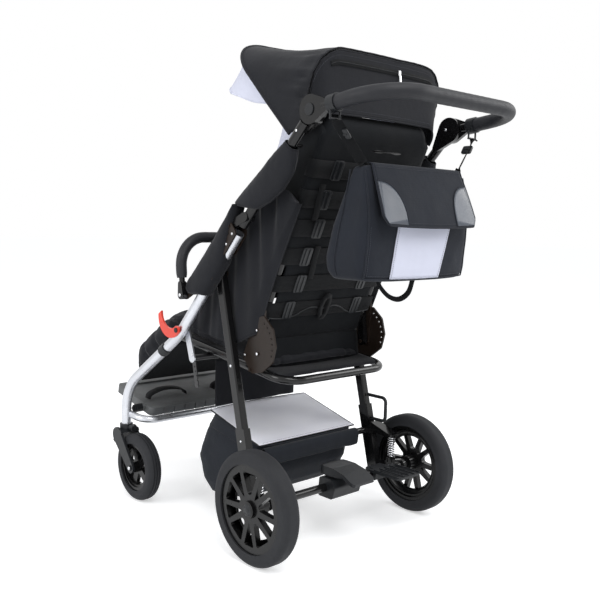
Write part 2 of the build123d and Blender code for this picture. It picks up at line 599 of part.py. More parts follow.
def back_point(x, up, rear):
    """A point of the back, above its hinge along the frame and behind the frame's line."""
    behind = rear - BACK_SET
    return (x, PIVOT[0] + up * sin(lean) + behind * cos(lean), PIVOT[1] + up * cos(lean) - behind * sin(lean))


fan = outline([(-172, 494), (-134, 452), (-90, 462), (-50, 492), (-38, 535), (-50, 580), (-88, 612), (-120, 600)], 12.0)
fan_holes = [Pos(-125 + 74 * cos(radians(a)), 530 + 74 * sin(radians(a))) * Circle(3.0) for a in range(-16, 67, 12)]
plate = slab(fan - fan_holes, PLATE_X, PLATE_X + PLATE_T)
pin_in = BACK_X - BACK_R - 2.0
plate += rod(PIVOT_R, pin_in, PLATE_X + PLATE_T + 3.0, PIVOT)
rivets = [(-112, 571), (-160, 500)]
for spot in rivets:
    plate += rod(4.0, PLATE_X + PLATE_T, PLATE_X + PLATE_T + 2.0, spot)
rail_spot = seat_point(0, 128, 0)[1:]
plate += rod(5.0, RAIL_X + RAIL_R - 0.4, PLATE_X + PLATE_T + 2.0, rail_spot)
plate -= bar(rail, RAIL_R + RUN_FIT, SEAT_BEND)
keep("recline_plates", plate, mirrored(plate))

arm_flat_out = PLATE_X - GAP
arm_flat_in = BACK_X + BACK_R + GAP
flat_end = back_point(0, 112, 0)[1:]
lock_pin = back_point(0, 84, 10)[1:]
recline_arm = slab(link(PIVOT, 13.0, flat_end, 11.0), arm_flat_in, arm_flat_out)
recline_arm -= rod(PIVOT_R + RUN_FIT, 100, 300, PIVOT)
keep("recline_arms", recline_arm, mirrored(recline_arm))

tube_low = 60.0
back_half = [back_point(BACK_X, tube_low, 0), back_point(BACK_X, BACK_H, 0)]
back_frame = bar(back_half + [(-x, y, z) for x, y, z in reversed(back_half)], BACK_R, 60.0)
back_ear = slab(link(PIVOT, 12.0, back_point(0, tube_low + 16, 0)[1:], 9.0), BACK_X - 8, BACK_X + 8)
back_frame = back_frame + back_ear + mirrored(back_ear) - rod(PIVOT_R + RUN_FIT, -300, 300, PIVOT)
keep("back_frame", back_frame)

strap_pitch = (BACK_H - 170.0) / (STRAP_COUNT - 1)
straps = [BACK * Pos(0, BACK_R + GAP + STRAP_T / 2, 112 + k * strap_pitch) * Box(2 * BACK_X + 14, STRAP_T, STRAP_W)
          for k in range(STRAP_COUNT)]
keep("back_straps", *straps)


def back_section(up, half, thick):
    """Section of the back cushion, square to the back frame, growing forwards."""
    origin = back_point(0, up, -BACK_R - GAP)
    plane = Plane(origin, x_dir=(1, 0, 0), z_dir=Vector(0, sin(lean), cos(lean)))
    return plane, half, -thick


cushion_low, cushion_high = 118.0, 590.0
pad = cushion([back_section(cushion_low, CUSHION_HALF - 8, CUSHION_T - 12),
               back_section(cushion_low + 24, CUSHION_HALF, CUSHION_T),
               back_section(cushion_high - 24, CUSHION_HALF, CUSHION_T),
               back_section(cushion_high, CUSHION_HALF - 8, CUSHION_T - 12)])
channels = [BACK * Pos(0, -BACK_R - GAP - CUSHION_T - 1, up) * Rot(0, 90, 0) * Cylinder(4.0, 460) for up in (220, 320)]
keep("back_cushion", pad - channels)

head_rear = BACK_R + 2 * GAP + CUSHION_T
head_low, head_high = 424.0, 586.0
head_shape = outline([(-186, -head_rear - 92), (-150, -head_rear - 92), (-132, -head_rear - 40), (132, -head_rear - 40),
                      (150, -head_rear - 92), (186, -head_rear - 92), (176, -head_rear), (-176, -head_rear)], 14.0)
headrest = BACK * Pos(0, 0, head_low) * extrude(head_shape, head_high - head_low)
keep("headrest", headrest)

# Recline release: cable from one lock to the other, with its pull loop, behind the straps
cable_rear = BACK_R + STRAP_T + 2 * GAP + 2.3
cable_half = [back_point(BACK_X, 92, cable_rear), back_point(120, 80, cable_rear), back_point(50, 122, cable_rear)]
cable_points = cable_half + [back_point(0, 106, cable_rear)] + [(-x, y, z) for x, y, z in reversed(cable_half)]
cable_radii = [110.0, 60.0, 60.0, 60.0, 110.0]
cable = bar(cable_points, 2.0, cable_radii)
print("cable bend radii, mm:", cable_radii)
pull = BACK * Pos(0, cable_rear + 2.0 + GAP + 1.2, 122) * Box(26, 2.4, 62)
keep("recline_release", cable, pull)

# Leg rest: frame on the rails' front ends, thick calf pad

REST = Pos(0, *LEG_HINGE) * Rot(LEG_REST_DROP, 0, 0)
rest_bar = [REST * Pos(LEG_REST_X, -6, 0), REST * Pos(LEG_REST_X, -LEG_REST_L, 0),
            REST * Pos(-LEG_REST_X, -LEG_REST_L, 0), REST * Pos(-LEG_REST_X, -6, 0)]
rest_frame = bar([spot.position for spot in rest_bar], LEG_REST_R, 40.0)
rest_frame += rod(REST_PIN_R, -RAIL_X - 8, RAIL_X + 8, LEG_HINGE)
rest_frame += REST * Pos(0, -LEG_REST_L / 2 - 26, LEG_REST_R) * Box(2 * LEG_REST_X - 8, LEG_REST_L - 70, 8)
keep("leg_rest_frame", rest_frame)

calf_base = LEG_REST_R + 4.0 + GAP


def rest_section(forward, half, thick):
    """Section of the calf pad, square to its frame."""
    spot = REST * Pos(0, -forward, calf_base)
    plane = Plane(spot.position, x_dir=(1, 0, 0), z_dir=REST.position - (REST * Pos(0, 1, 0)).position)
    return plane, half, thick


calf_pad = cushion([rest_section(46, CALF_HALF - 10, CALF_T - 16),
                    rest_section(84, CALF_HALF, CALF_T),
                    rest_section(LEG_REST_L - 30, CALF_HALF, CALF_T + 6),
                    rest_section(LEG_REST_L + 20, CALF_HALF - 10, CALF_T - 50)])
keep("leg_rest_pad", calf_pad)

# Footrest tray on its hinge knobs, with a ribbed rear face

FOOT = Pos(0, *FOOT_HINGE) * Rot(-FOOT_TILT, 0, 0)
tray_length = FOOT_REAR + FOOT_FRONT
tray = Box(2 * FOOT_HALF, tray_length, FOOT_T)
tray = fillet(tray.edges().filter_by(Axis.Z), 16.0)
tray -= Pos(0, -4, FOOT_T / 2) * Box(2 * FOOT_HALF - 40, tray_length - 44, 12)
tray -= [Pos(x, tray_length / 2, -4) * Box(4, 6, FOOT_T) for x in range(-180, 181, 40)]
tray = FOOT * Pos(0, (FOOT_REAR - FOOT_FRONT) / 2, 0) * tray
ear = rod(13.0, FOOT_HALF - 1.0, foot_ear, FOOT_HINGE)
tray += ear + mirrored(ear)
tray -= rod(FOOT_PIN_R + RUN_FIT, FOOT_HALF - 13, 300, FOOT_HINGE) + rod(FOOT_PIN_R + RUN_FIT, -300, 13 - FOOT_HALF, FOOT_HINGE)
keep("footrest", tray)

# Bumper bar: core with hinge eyes, foam cover

bumper_dir = radians(90.0 + BUMPER_LEAN)


def bumper_point(x, up):
    return (x, BUMPER_PIVOT[0] + up * cos(bumper_dir), BUMPER_PIVOT[1] + up * sin(bumper_dir))


def bumper_path(start):
    half = [bumper_point(BUMPER_X, start), bumper_point(BUMPER_X, BUMPER_H)]
    return half + [(-x, y, z) for x, y, z in reversed(half)]


eye_in = plate_in + 4.0 + GAP
eye = slab(link(BUMPER_PIVOT, 12.0, bumper_point(0, 30)[1:], 8.0), eye_in, BUMPER_X + 9.0)
eye -= rod(5.0 + RUN_FIT, 200, 320, BUMPER_PIVOT)
keep("bumper_bar", bar(bumper_path(20.0), BUMPER_R, BUMPER_BEND) + eye + mirrored(eye)
     - rod(5.0 + RUN_FIT, 200, 320, BUMPER_PIVOT) - rod(5.0 + RUN_FIT, -320, -200, BUMPER_PIVOT))
keep("bumper_foam", bar(bumper_path(46.0), BUMPER_FOAM_R, BUMPER_BEND, BUMPER_R + GAP / 2))

# Canopy: bow-shaped bands about the side pivots; the front part nests over the rear part


def bow(angle, reach, half, corner, foot_at):
    """Section of the hood at one bow: a thin inverted U in a plane through the pivots."""
    plane = Plane((0, *HOOD_PIVOT), x_dir=(1, 0, 0), z_dir=(0, -sin(radians(angle)), cos(radians(angle))))
    outer = FilletPolyline((-half, foot_at), (-half, reach), (half, reach), (half, foot_at), radius=corner)
    low, thin = half - HOOD_T, corner - HOOD_T
    inner = FilletPolyline((-low, foot_at), (-low, reach - HOOD_T), (low, reach - HOOD_T), (low, foot_at), radius=thin)
    return plane * make_face(outer + inner + [Line(outer @ 0, inner @ 0), Line(outer @ 1, inner @ 1)])


FRONT_HALF = HOOD_HALF + HOOD_NEST


def hood_spot(angle, reach):
    """Side-view spot at a distance from the hood's pivots."""
    return (HOOD_PIVOT[0] + reach * cos(radians(angle)), HOOD_PIVOT[1] + reach * sin(radians(angle)))


def with_ears(shell, half, angle):
    """Add the two side ears that hold a part of the hood on its pivot pins."""
    ear = slab(link(HOOD_PIVOT, 12.0, hood_spot(angle, HOOD_FOOT + 26), 12.0), half - HOOD_T, half)
    ear -= rod(HOOD_PIN_R + RUN_FIT, half - 20, half + 20, HOOD_PIVOT)
    return shell + ear + mirrored(ear)


MIDDLE, FRONT = (74.2, 232.0, 80.0), (135.0, 409.0, 135.0)    # bows: angle, reach, corner
rear_shell = loft([bow(56, HOOD_FOOT + 50, HOOD_HALF, 44, HOOD_FOOT), bow(*MIDDLE[:2], HOOD_HALF, MIDDLE[2], HOOD_FOOT),
                   bow(MIDDLE[0] + 2.8, MIDDLE[1] - 0.8, HOOD_HALF, MIDDLE[2], HOOD_FOOT)], ruled=True)
front_shell = loft([bow(MIDDLE[0] + 0.3, MIDDLE[1] + 5, FRONT_HALF, MIDDLE[2] + 4, HOOD_FOOT),
                    bow(*FRONT[:2], FRONT_HALF, FRONT[2], HOOD_FOOT)], ruled=True)
keep("canopy_rear", with_ears(rear_shell, HOOD_HALF, 66))
keep("canopy_front", with_ears(front_shell, FRONT_HALF, 105))
visor_half = FRONT_HALF - HOOD_T - GAP
keep("canopy_visor", loft([bow(FRONT[0] - 0.8, FRONT[1] - 13, visor_half, FRONT[2], 150),
                           bow(151, VISOR_REACH, visor_half - 6, 105, 262)], ruled=True))

# Bag on the handle: clips on the arms, straps, body and flap

grip_spot = handle_point(HUB_X, (CLIP_Y - HUB[0]) / cos(rise))
clip_plane = Plane(grip_spot, z_dir=(0, cos(rise), sin(rise)))
loop_r = GRIP_R + 2 * GAP
clip = clip_plane * (Cylinder(loop_r + 2.4, 24) - Cylinder(loop_r, 24))
ring_z = grip_spot[2] - loop_r - 16.0
ring_spot = (grip_spot[1], ring_z)
RING_R = 2.5
for x in (HUB_X - 17.0, HUB_X + 13.0):
    clip += Pos(x, grip_spot[1], (ring_z + grip_spot[2] - loop_r) / 2 + 2.0) * Cylinder(RING_R, 24.0)
clip += rod(RING_R, HUB_X - 19.0, HUB_X + 15.0, ring_spot)
clip -= clip_plane * Cylinder(loop_r, 24)
keep("bag_clips", clip, mirrored(clip))

bag_side = outline([(192, BAG_TOP), (234, BAG_TOP), (254, 880), (246, BAG_BOTTOM), (122, BAG_BOTTOM), (106, 778),
                    (166, 930)], 16.0)
bag = slab(bag_side, -BAG_HALF, BAG_HALF)
keep("bag_body", fillet(bag.faces().sort_by(Axis.X)[0].edges() + bag.faces().sort_by(Axis.X)[-1].edges(), 12.0))

strap_top = Vector(HUB_X - 2.0, ring_spot[0], ring_z)
strap_low = Vector(BAG_HALF - 17.0, 219.0, BAG_TOP + GAP)
strap_mid = (strap_top + strap_low) / 2
strap_plane = Plane(strap_mid, x_dir=(0, 1, 0), z_dir=strap_low - strap_top)
bag_strap = strap_plane * Box(24, 2.4, (strap_low - strap_top).length - 9.0)
bag_strap += rod(6.0, strap_top.X - 12, strap_top.X + 12, ring_spot)
bag_strap += Pos(strap_low.X, strap_low.Y, strap_low.Z + 5) * Box(26, 24, 10)
bag_strap -= rod(RING_R + RUN_FIT, HUB_X - 40, HUB_X + 40, ring_spot)
keep("bag_straps", bag_strap, mirrored(bag_strap))

flap_line = [(236.5, BAG_TOP - 10), (259.7, FLAP_LOW), (265.7, FLAP_LOW), (240.5, BAG_TOP - 8)]
flap_shape = outline(flap_line, 1.0)
keep("bag_flap", slab(flap_shape, -FLAP_HALF, FLAP_HALF))

# Basket under the seat and its cloth lid

basket_side = [(REAR_BAR[0] - REAR_BAR_R + 2.2, 247), (-352, 306), (-420, 160), (-390, 58), (-205, 80), (-144, 140)]
basket_outer = slab(outline(basket_side, 12.0), -BASKET_HALF, BASKET_HALF)
inner_side = outline([(-134, 290), (-352, 330), (-415, 160), (-387, 62), (-206, 84), (-149, 142)], 9.0)
basket = basket_outer - slab(inner_side, -BASKET_HALF + BASKET_WALL, BASKET_HALF - BASKET_WALL)
keep("basket", basket)
lid_side = outline([(-129, 248.6), (-352, 306.8), (-352, 309.8), (-129, 251.6)], 0.8)
keep("basket_lid", slab(lid_side, -BASKET_HALF, BASKET_HALF))

os.makedirs("parts", exist_ok=True)
for name, shape in parts.items():
    export_step(shape, "parts/" + name + ".step")
size = Compound(children=list(parts.values())).bounding_box()
print(len(parts), "nodes", size)
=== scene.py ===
import bpy
import json
import numpy as np
from math import pi, sin, cos, exp, radians, sqrt
from mathutils import Vector, Matrix, noise


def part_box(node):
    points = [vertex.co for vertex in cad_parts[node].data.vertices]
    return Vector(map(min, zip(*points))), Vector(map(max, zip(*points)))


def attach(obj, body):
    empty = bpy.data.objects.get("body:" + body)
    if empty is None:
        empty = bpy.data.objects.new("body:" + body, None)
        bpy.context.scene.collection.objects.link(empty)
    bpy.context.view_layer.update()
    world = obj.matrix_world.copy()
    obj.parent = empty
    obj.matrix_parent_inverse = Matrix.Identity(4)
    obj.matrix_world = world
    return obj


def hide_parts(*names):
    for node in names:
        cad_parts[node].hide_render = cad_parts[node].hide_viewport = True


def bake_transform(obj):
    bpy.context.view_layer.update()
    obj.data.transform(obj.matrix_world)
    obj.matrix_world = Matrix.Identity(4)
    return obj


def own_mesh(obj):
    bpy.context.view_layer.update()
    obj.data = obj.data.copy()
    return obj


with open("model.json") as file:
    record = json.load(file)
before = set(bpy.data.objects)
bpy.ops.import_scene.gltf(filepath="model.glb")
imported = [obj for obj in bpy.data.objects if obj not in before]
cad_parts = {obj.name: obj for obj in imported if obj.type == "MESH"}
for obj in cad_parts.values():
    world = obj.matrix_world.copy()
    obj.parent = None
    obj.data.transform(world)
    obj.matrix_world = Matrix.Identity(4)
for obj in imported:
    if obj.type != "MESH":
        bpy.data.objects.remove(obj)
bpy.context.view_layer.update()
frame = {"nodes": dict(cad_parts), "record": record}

# Lengths are millimetres unless said, with Y counted from the rear axle, as in the CAD model.

AXLE_Y = 218.9        # rear axle behind the frame's origin
NODES = frame["nodes"]
HANDS = (1, -1)       # left and right
OUT = (1, 0, 0)
scene = bpy.context.scene


def to_m(p):
    return (p[0] / 1000.0, (p[1] + AXLE_Y) / 1000.0, p[2] / 1000.0)


def to_mm(p):
    return Vector((p.x * 1000, p.y * 1000 - AXLE_Y, p.z * 1000))


def lerp(a, b, t):
    return a + (b - a) * t


def smooth(t):
    t = min(1.0, max(0.0, t))
    return t * t * (3 - 2 * t)


def bent(v, power):
    """A power of a number's size, with its sign kept."""
    return (1 if v >= 0 else -1) * abs(v) ** power


def along(stops, t):
    """Value at t of a list of (t, value or tuple), joined by straight lines."""
    for (t0, v0), (t1, v1) in zip(stops, stops[1:]):
        if t <= t1 or (t1, v1) == stops[-1]:
            k = min(1.0, max(0.0, (t - t0) / (t1 - t0)))
            if isinstance(v0, tuple):
                return tuple(lerp(a, b, k) for a, b in zip(v0, v1))
            return lerp(v0, v1, k)


def ripple(p, scale, seed=0.0):
    """Smooth repeatable noise at a point."""
    return noise.noise(Vector((p[0] / scale + seed, p[1] / scale - seed, p[2] / scale + 2 * seed)))


def curve_through(points, count):
    """Points of a smooth line through the given ones."""
    pts = [Vector(p) for p in points]
    pts = [2 * pts[0] - pts[1]] + pts + [2 * pts[-1] - pts[-2]]
    out = []
    spans = len(pts) - 3
    for i in range(count):
        t = i / (count - 1) * spans
        k = min(int(t), spans - 1)
        f = t - k
        a, b, c, d = pts[k:k + 4]
        out.append(0.5 * (2 * b + (c - a) * f + (2 * a - 5 * b + 4 * c - d) * f * f
                          + (3 * b - a - 3 * c + d) * f ** 3))
    return out


def rounded_run(points, radius, steps):
    """Straight runs joined by round bends."""
    pts = [Vector(p) for p in points]
    out = [pts[0]]
    for a, b, c in zip(pts, pts[1:], pts[2:]):
        u, w = (a - b).normalized(), (c - b).normalized()
        half = u.angle(w) / 2
        reach = radius / np.tan(half)
        centre = b + (u + w).normalized() * radius / sin(half)
        start, stop = b + u * reach - centre, b + w * reach - centre
        turn = start.angle(stop)
        axis = start.cross(stop).normalized()
        out += [centre + Matrix.Rotation(turn * i / steps, 3, axis) @ start for i in range(steps + 1)]
    return out + [pts[-1]]


def marks_along(pts):
    """Lengths along a line at its points."""
    return np.cumsum([0.0] + [(b - a).length for a, b in zip(pts, pts[1:])])


def at_marks(pts, marks, stations):
    """Points of a line at lengths along it."""
    xyz = np.array(pts)
    return [Vector([np.interp(d, marks, xyz[:, k]) for k in range(3)]) for d in stations]


def even(points, step):
    """The same line with points an even step apart."""
    pts = [Vector(p) for p in points]
    marks = marks_along(pts)
    count = max(2, int(marks[-1] / step) + 1)
    return at_marks(pts, marks, np.linspace(0, marks[-1], count))


def trimmed(row, cut):
    """A row of points with a length cut off both its ends."""
    marks = marks_along(row)
    return at_marks(row, marks, np.linspace(cut, marks[-1] - cut, len(row)))


def mirrored(points):
    """Right-hand copy of a left-hand line, in reverse order."""
    return [Vector((-p.x, p.y, p.z)) for p in reversed(points)]


def shifted(points, y, z=0.0):
    return [p + Vector((0, y, z)) for p in points]


# Materials

WAVE_LENGTH = 2 * pi / 20     # of a wave texture at scale 1, in metres
STRAP_RIB = 0.0022            # metres


def srgb(*color):
    """Linear colour of an 8-bit screen colour."""
    shares = [c / 255 for c in color]
    return tuple(c / 12.92 if c <= 0.04045 else ((c + 0.055) / 1.055) ** 2.4 for c in shares)


def shade(color, k):
    return tuple(min(1.0, c * k) for c in color)


class Nodes:
    """Short hand for a material's node tree."""

    def __init__(self, name):
        self.mat = bpy.data.materials.new(name)
        self.mat.use_nodes = True
        self.tree = self.mat.node_tree
        self.shader = self.tree.nodes["Principled BSDF"]
        self.where = self.tree.nodes.new("ShaderNodeTexCoord").outputs["Object"]

    def add(self, kind, links=(), **values):
        """New node; values set its properties, or else its inputs, with _ for a space."""
        node = self.tree.nodes.new(kind)
        for key, value in values.items():
            if hasattr(node, key):
                setattr(node, key, value)
            else:
                node.inputs[key.replace("_", " ")].default_value = value
        for key, source in dict(links).items():
            self.tree.links.new(source, node.inputs[key])
        return node

    def noise(self, scale, detail=3.0, rough=0.55):
        return self.add("ShaderNodeTexNoise", {"Vector": self.where}, Scale=scale, Detail=detail,
                        Roughness=rough).outputs["Fac"]

    def bands(self, vector, scale):
        return self.add("ShaderNodeTexWave", {"Vector": vector}, wave_type="BANDS",
                        bands_direction="DIAGONAL", Scale=scale).outputs["Fac"]

    def math(self, op, a, b):
        node = self.add("ShaderNodeMath", operation=op)
        for slot, value in enumerate((a, b)):
            if isinstance(value, (int, float)):
                node.inputs[slot].default_value = value
            else:
                self.tree.links.new(value, node.inputs[slot])
        return node.outputs[0]

    def stretch(self, fac, low, high):
        """A noise's middle range, spread from low to high."""
        return self.add("ShaderNodeMapRange", {"Value": fac}, From_Min=0.3, From_Max=0.7, To_Min=low,
                        To_Max=high).outputs["Result"]

    def tint(self, fac, dark, light):
        node = self.add("ShaderNodeMix", data_type="RGBA")
        self.tree.links.new(fac, node.inputs[0])
        for socket, color in zip([s for s in node.inputs if s.type == "RGBA"], (dark, light)):
            socket.default_value = (*color, 1)
        return [s for s in node.outputs if s.type == "RGBA"][0]

    def bump(self, height, distance, strength, normal=None):
        node = self.add("ShaderNodeBump", {"Height": height}, Distance=distance, Strength=strength)
        if normal:
            self.tree.links.new(normal, node.inputs["Normal"])
        return node.outputs["Normal"]

    def put(self, socket, source):
        self.tree.links.new(source, self.shader.inputs[socket])

    def dye(self, patch, color, dark, light):
        """Base colour that varies with a noise."""
        self.put("Base Color", self.tint(self.stretch(patch, 0, 1), shade(color, dark), shade(color, light)))

    def fix(self, **values):
        """Constant values on the shader's own sockets, with _ for a space."""
        for key, value in values.items():
            self.shader.inputs[key.replace("_", " ")].default_value = value


def cloth(name, color, thread=1.6, sheen=0.1, crease=0.0012, vary=0.15):
    """Woven cloth: crossed threads, soft creases, uneven dye and a little sheen."""
    n = Nodes(name)
    patch = n.noise(9.0, 4.0)
    n.dye(patch, color, 1 - vary, 1 + vary)
    threads = []
    for direction in ((1, 1, 1), (1, -1, 1)):
        turn = n.add("ShaderNodeMapping", {"Vector": n.where}, Scale=direction)
        threads.append(n.bands(turn.outputs[0], WAVE_LENGTH / (thread / 1000)))
    soft = n.bump(n.noise(38.0), crease, 0.7)
    n.put("Normal", n.bump(n.math("MULTIPLY", *threads), 0.0003, 0.5, soft))
    n.put("Roughness", n.stretch(patch, 0.79, 0.91))
    n.fix(Sheen_Weight=sheen, Sheen_Roughness=0.45, Specular_IOR_Level=0.14)
    return n.mat


def moulded(name, color, rough, grain=900.0, depth=0.00012, coat=0.0, vary=0.12, metal=0.0, marks=0.06,
            spec=0.5):
    """Moulded, painted or metal surface: fine grain, faint marks and worn patches in its gloss."""
    n = Nodes(name)
    n.dye(n.noise(14.0, 5.0), color, 1 - vary, 1 + vary)
    n.put("Roughness", n.stretch(n.noise(55.0, 6.0, 0.7), max(0.03, rough - marks), min(1.0, rough + marks)))
    n.put("Normal", n.bump(n.noise(grain, 2.0), depth, 0.35))
    n.fix(Metallic=metal, Specular_IOR_Level=spec, Coat_Weight=coat, Coat_Roughness=0.08)
    return n.mat


def leather(name, color):
    """Leatherette: pebbled grain and a soft gloss."""
    n = Nodes(name)
    cells = n.add("ShaderNodeTexVoronoi", {"Vector": n.where}, Scale=620.0)
    patch = n.noise(12.0, 4.0)
    n.dye(patch, color, 0.86, 1.14)
    n.put("Normal", n.bump(cells.outputs["Distance"], 0.0003, 0.5))
    n.put("Roughness", n.stretch(patch, 0.34, 0.46))
    return n.mat


def webbing(name, color):
    """Ribbed strap cloth."""
    n = Nodes(name)
    patch = n.noise(20.0)
    n.dye(patch, color, 0.8, 1.25)
    n.put("Normal", n.bump(n.bands(n.where, WAVE_LENGTH / STRAP_RIB), 0.0005, 0.6))
    n.put("Roughness", n.stretch(patch, 0.7, 0.85))
    n.fix(Sheen_Weight=0.05, Specular_IOR_Level=0.12)
    return n.mat


def lug_metal(name, split):
    """Silver on the outer plates, black paint on everything further in."""
    n = Nodes(name)
    axes = n.add("ShaderNodeSeparateXYZ", {"Vector": n.where})
    plate = n.math("GREATER_THAN", n.math("ABSOLUTE", axes.outputs["X"], 0.0), split)
    n.put("Base Color", n.tint(plate, srgb(26, 26, 28), srgb(206, 208, 213)))
    n.put("Metallic", n.math("MULTIPLY", plate, 0.9))
    n.put("Roughness", n.stretch(n.noise(55.0, 6.0, 0.7), 0.26, 0.36))
    n.put("Normal", n.bump(n.noise(900.0, 2.0), 0.00012, 0.35))
    return n.mat


BLACK = cloth("cloth_black", srgb(31, 32, 36))
BACKING = cloth("cloth_backing", srgb(17, 19, 22), sheen=0.05)
BASKET = cloth("cloth_basket", srgb(34, 37, 43))
BAG = cloth("cloth_bag", srgb(34, 37, 44), thread=1.9)
GREY = cloth("cloth_grey", srgb(208, 211, 227), thread=1.4, vary=0.04, crease=0.0006)
# The basket cover's grey cloth, made lighter than GREY: painted light that offsets the shade the cover sits
# in
LID_PAINTED_LIGHT = cloth("cloth_lid_painted_light", srgb(244, 245, 255), thread=1.4, vary=0.03, crease=0.0006)
PATCH = leather("leatherette", srgb(66, 72, 82))
STRAP = webbing("webbing", srgb(17, 18, 20))
FOAM = moulded("foam", srgb(33, 34, 38), rough=0.55, grain=1400.0, depth=0.0003, vary=0.1, spec=0.3)
SILVER = moulded("silver_tube", srgb(206, 208, 213), rough=0.3, metal=0.9, vary=0.05, grain=2200.0)
TUBE = moulded("black_tube", srgb(17, 17, 18), rough=0.22, coat=0.25, vary=0.1, spec=0.25)
BRACKET = moulded("bracket", srgb(38, 30, 25), rough=0.36, spec=0.25)
PLASTIC = moulded("plastic", srgb(27, 29, 32), rough=0.42, vary=0.1, spec=0.3)
RIM = moulded("rim", srgb(11, 11, 12), rough=0.3, coat=0.15, vary=0.08, spec=0.22)
TYRE = moulded("tyre", srgb(41, 42, 45), rough=0.72, grain=700.0, depth=0.0004, vary=0.1, spec=0.25)
CHROME = moulded("chrome", srgb(226, 227, 230), rough=0.12, metal=1.0, vary=0.03, marks=0.03)
STEEL = moulded("steel", srgb(214, 215, 218), rough=0.22, metal=1.0, vary=0.04)
RED = moulded("red", srgb(226, 62, 42), rough=0.34, coat=0.2, vary=0.06)
TREAD = moulded("footrest_rubber", srgb(92, 94, 95), rough=0.6, grain=500.0, depth=0.0005)
THREAD = moulded("thread", srgb(70, 72, 80), rough=0.8)
SLOT_MATERIAL = {"silver_tube": SILVER, "black_tube": TUBE, "bracket": BRACKET, "steel": STEEL,
                 "spring": CHROME, "foam": FOAM, "black_cloth": BLACK, "grey_cloth": GREY, "bag_cloth": BAG,
                 "webbing": STRAP, "plastic": PLASTIC, "rim": RIM, "tyre": TYRE, "red": RED}
SLOT_OF = {m.name: s for s, m in SLOT_MATERIAL.items()}
SLOT_OF.update({"cloth_basket": "black_cloth", "cloth_backing": "black_cloth", "cloth_lid_painted_light": "grey_cloth",
                "leatherette": "bag_cloth", "footrest_rubber": "plastic", "thread": "webbing"})
LUG_INNER = 0.2495            # inner face of the seat lugs' plates, metres
for part in frame["record"]["subparts"]:
    obj = NODES[part["node"]]
    obj.data.materials.clear()
    obj.data.materials.append(SLOT_MATERIAL[part["material_slot"]])
NODES["footrest"].data.materials[0] = TREAD
NODES["seat_mount"].data.materials[0] = lug_metal("lug_metal", LUG_INNER)

# Rounded edges on hard pieces, so that they catch the light
EDGE_WIDTH = {"rear_rim_left": 0.9, "rear_rim_right": 0.9, "front_rim_left": 0.9, "front_rim_right": 0.9,
              "brake_housing": 4.0, "brake_pedal": 3.0, "step_plate": 0.9, "footrest": 2.0,
              "fold_lock_hook": 1.2, "recline_plates": 0.8}
for name, width in EDGE_WIDTH.items():
    edge = NODES[name].modifiers.new("edge", "BEVEL")
    edge.width = width / 1000.0
    edge.segments = 2
    edge.limit_method = "ANGLE"
    edge.angle_limit = radians(35)

# Mesh makers


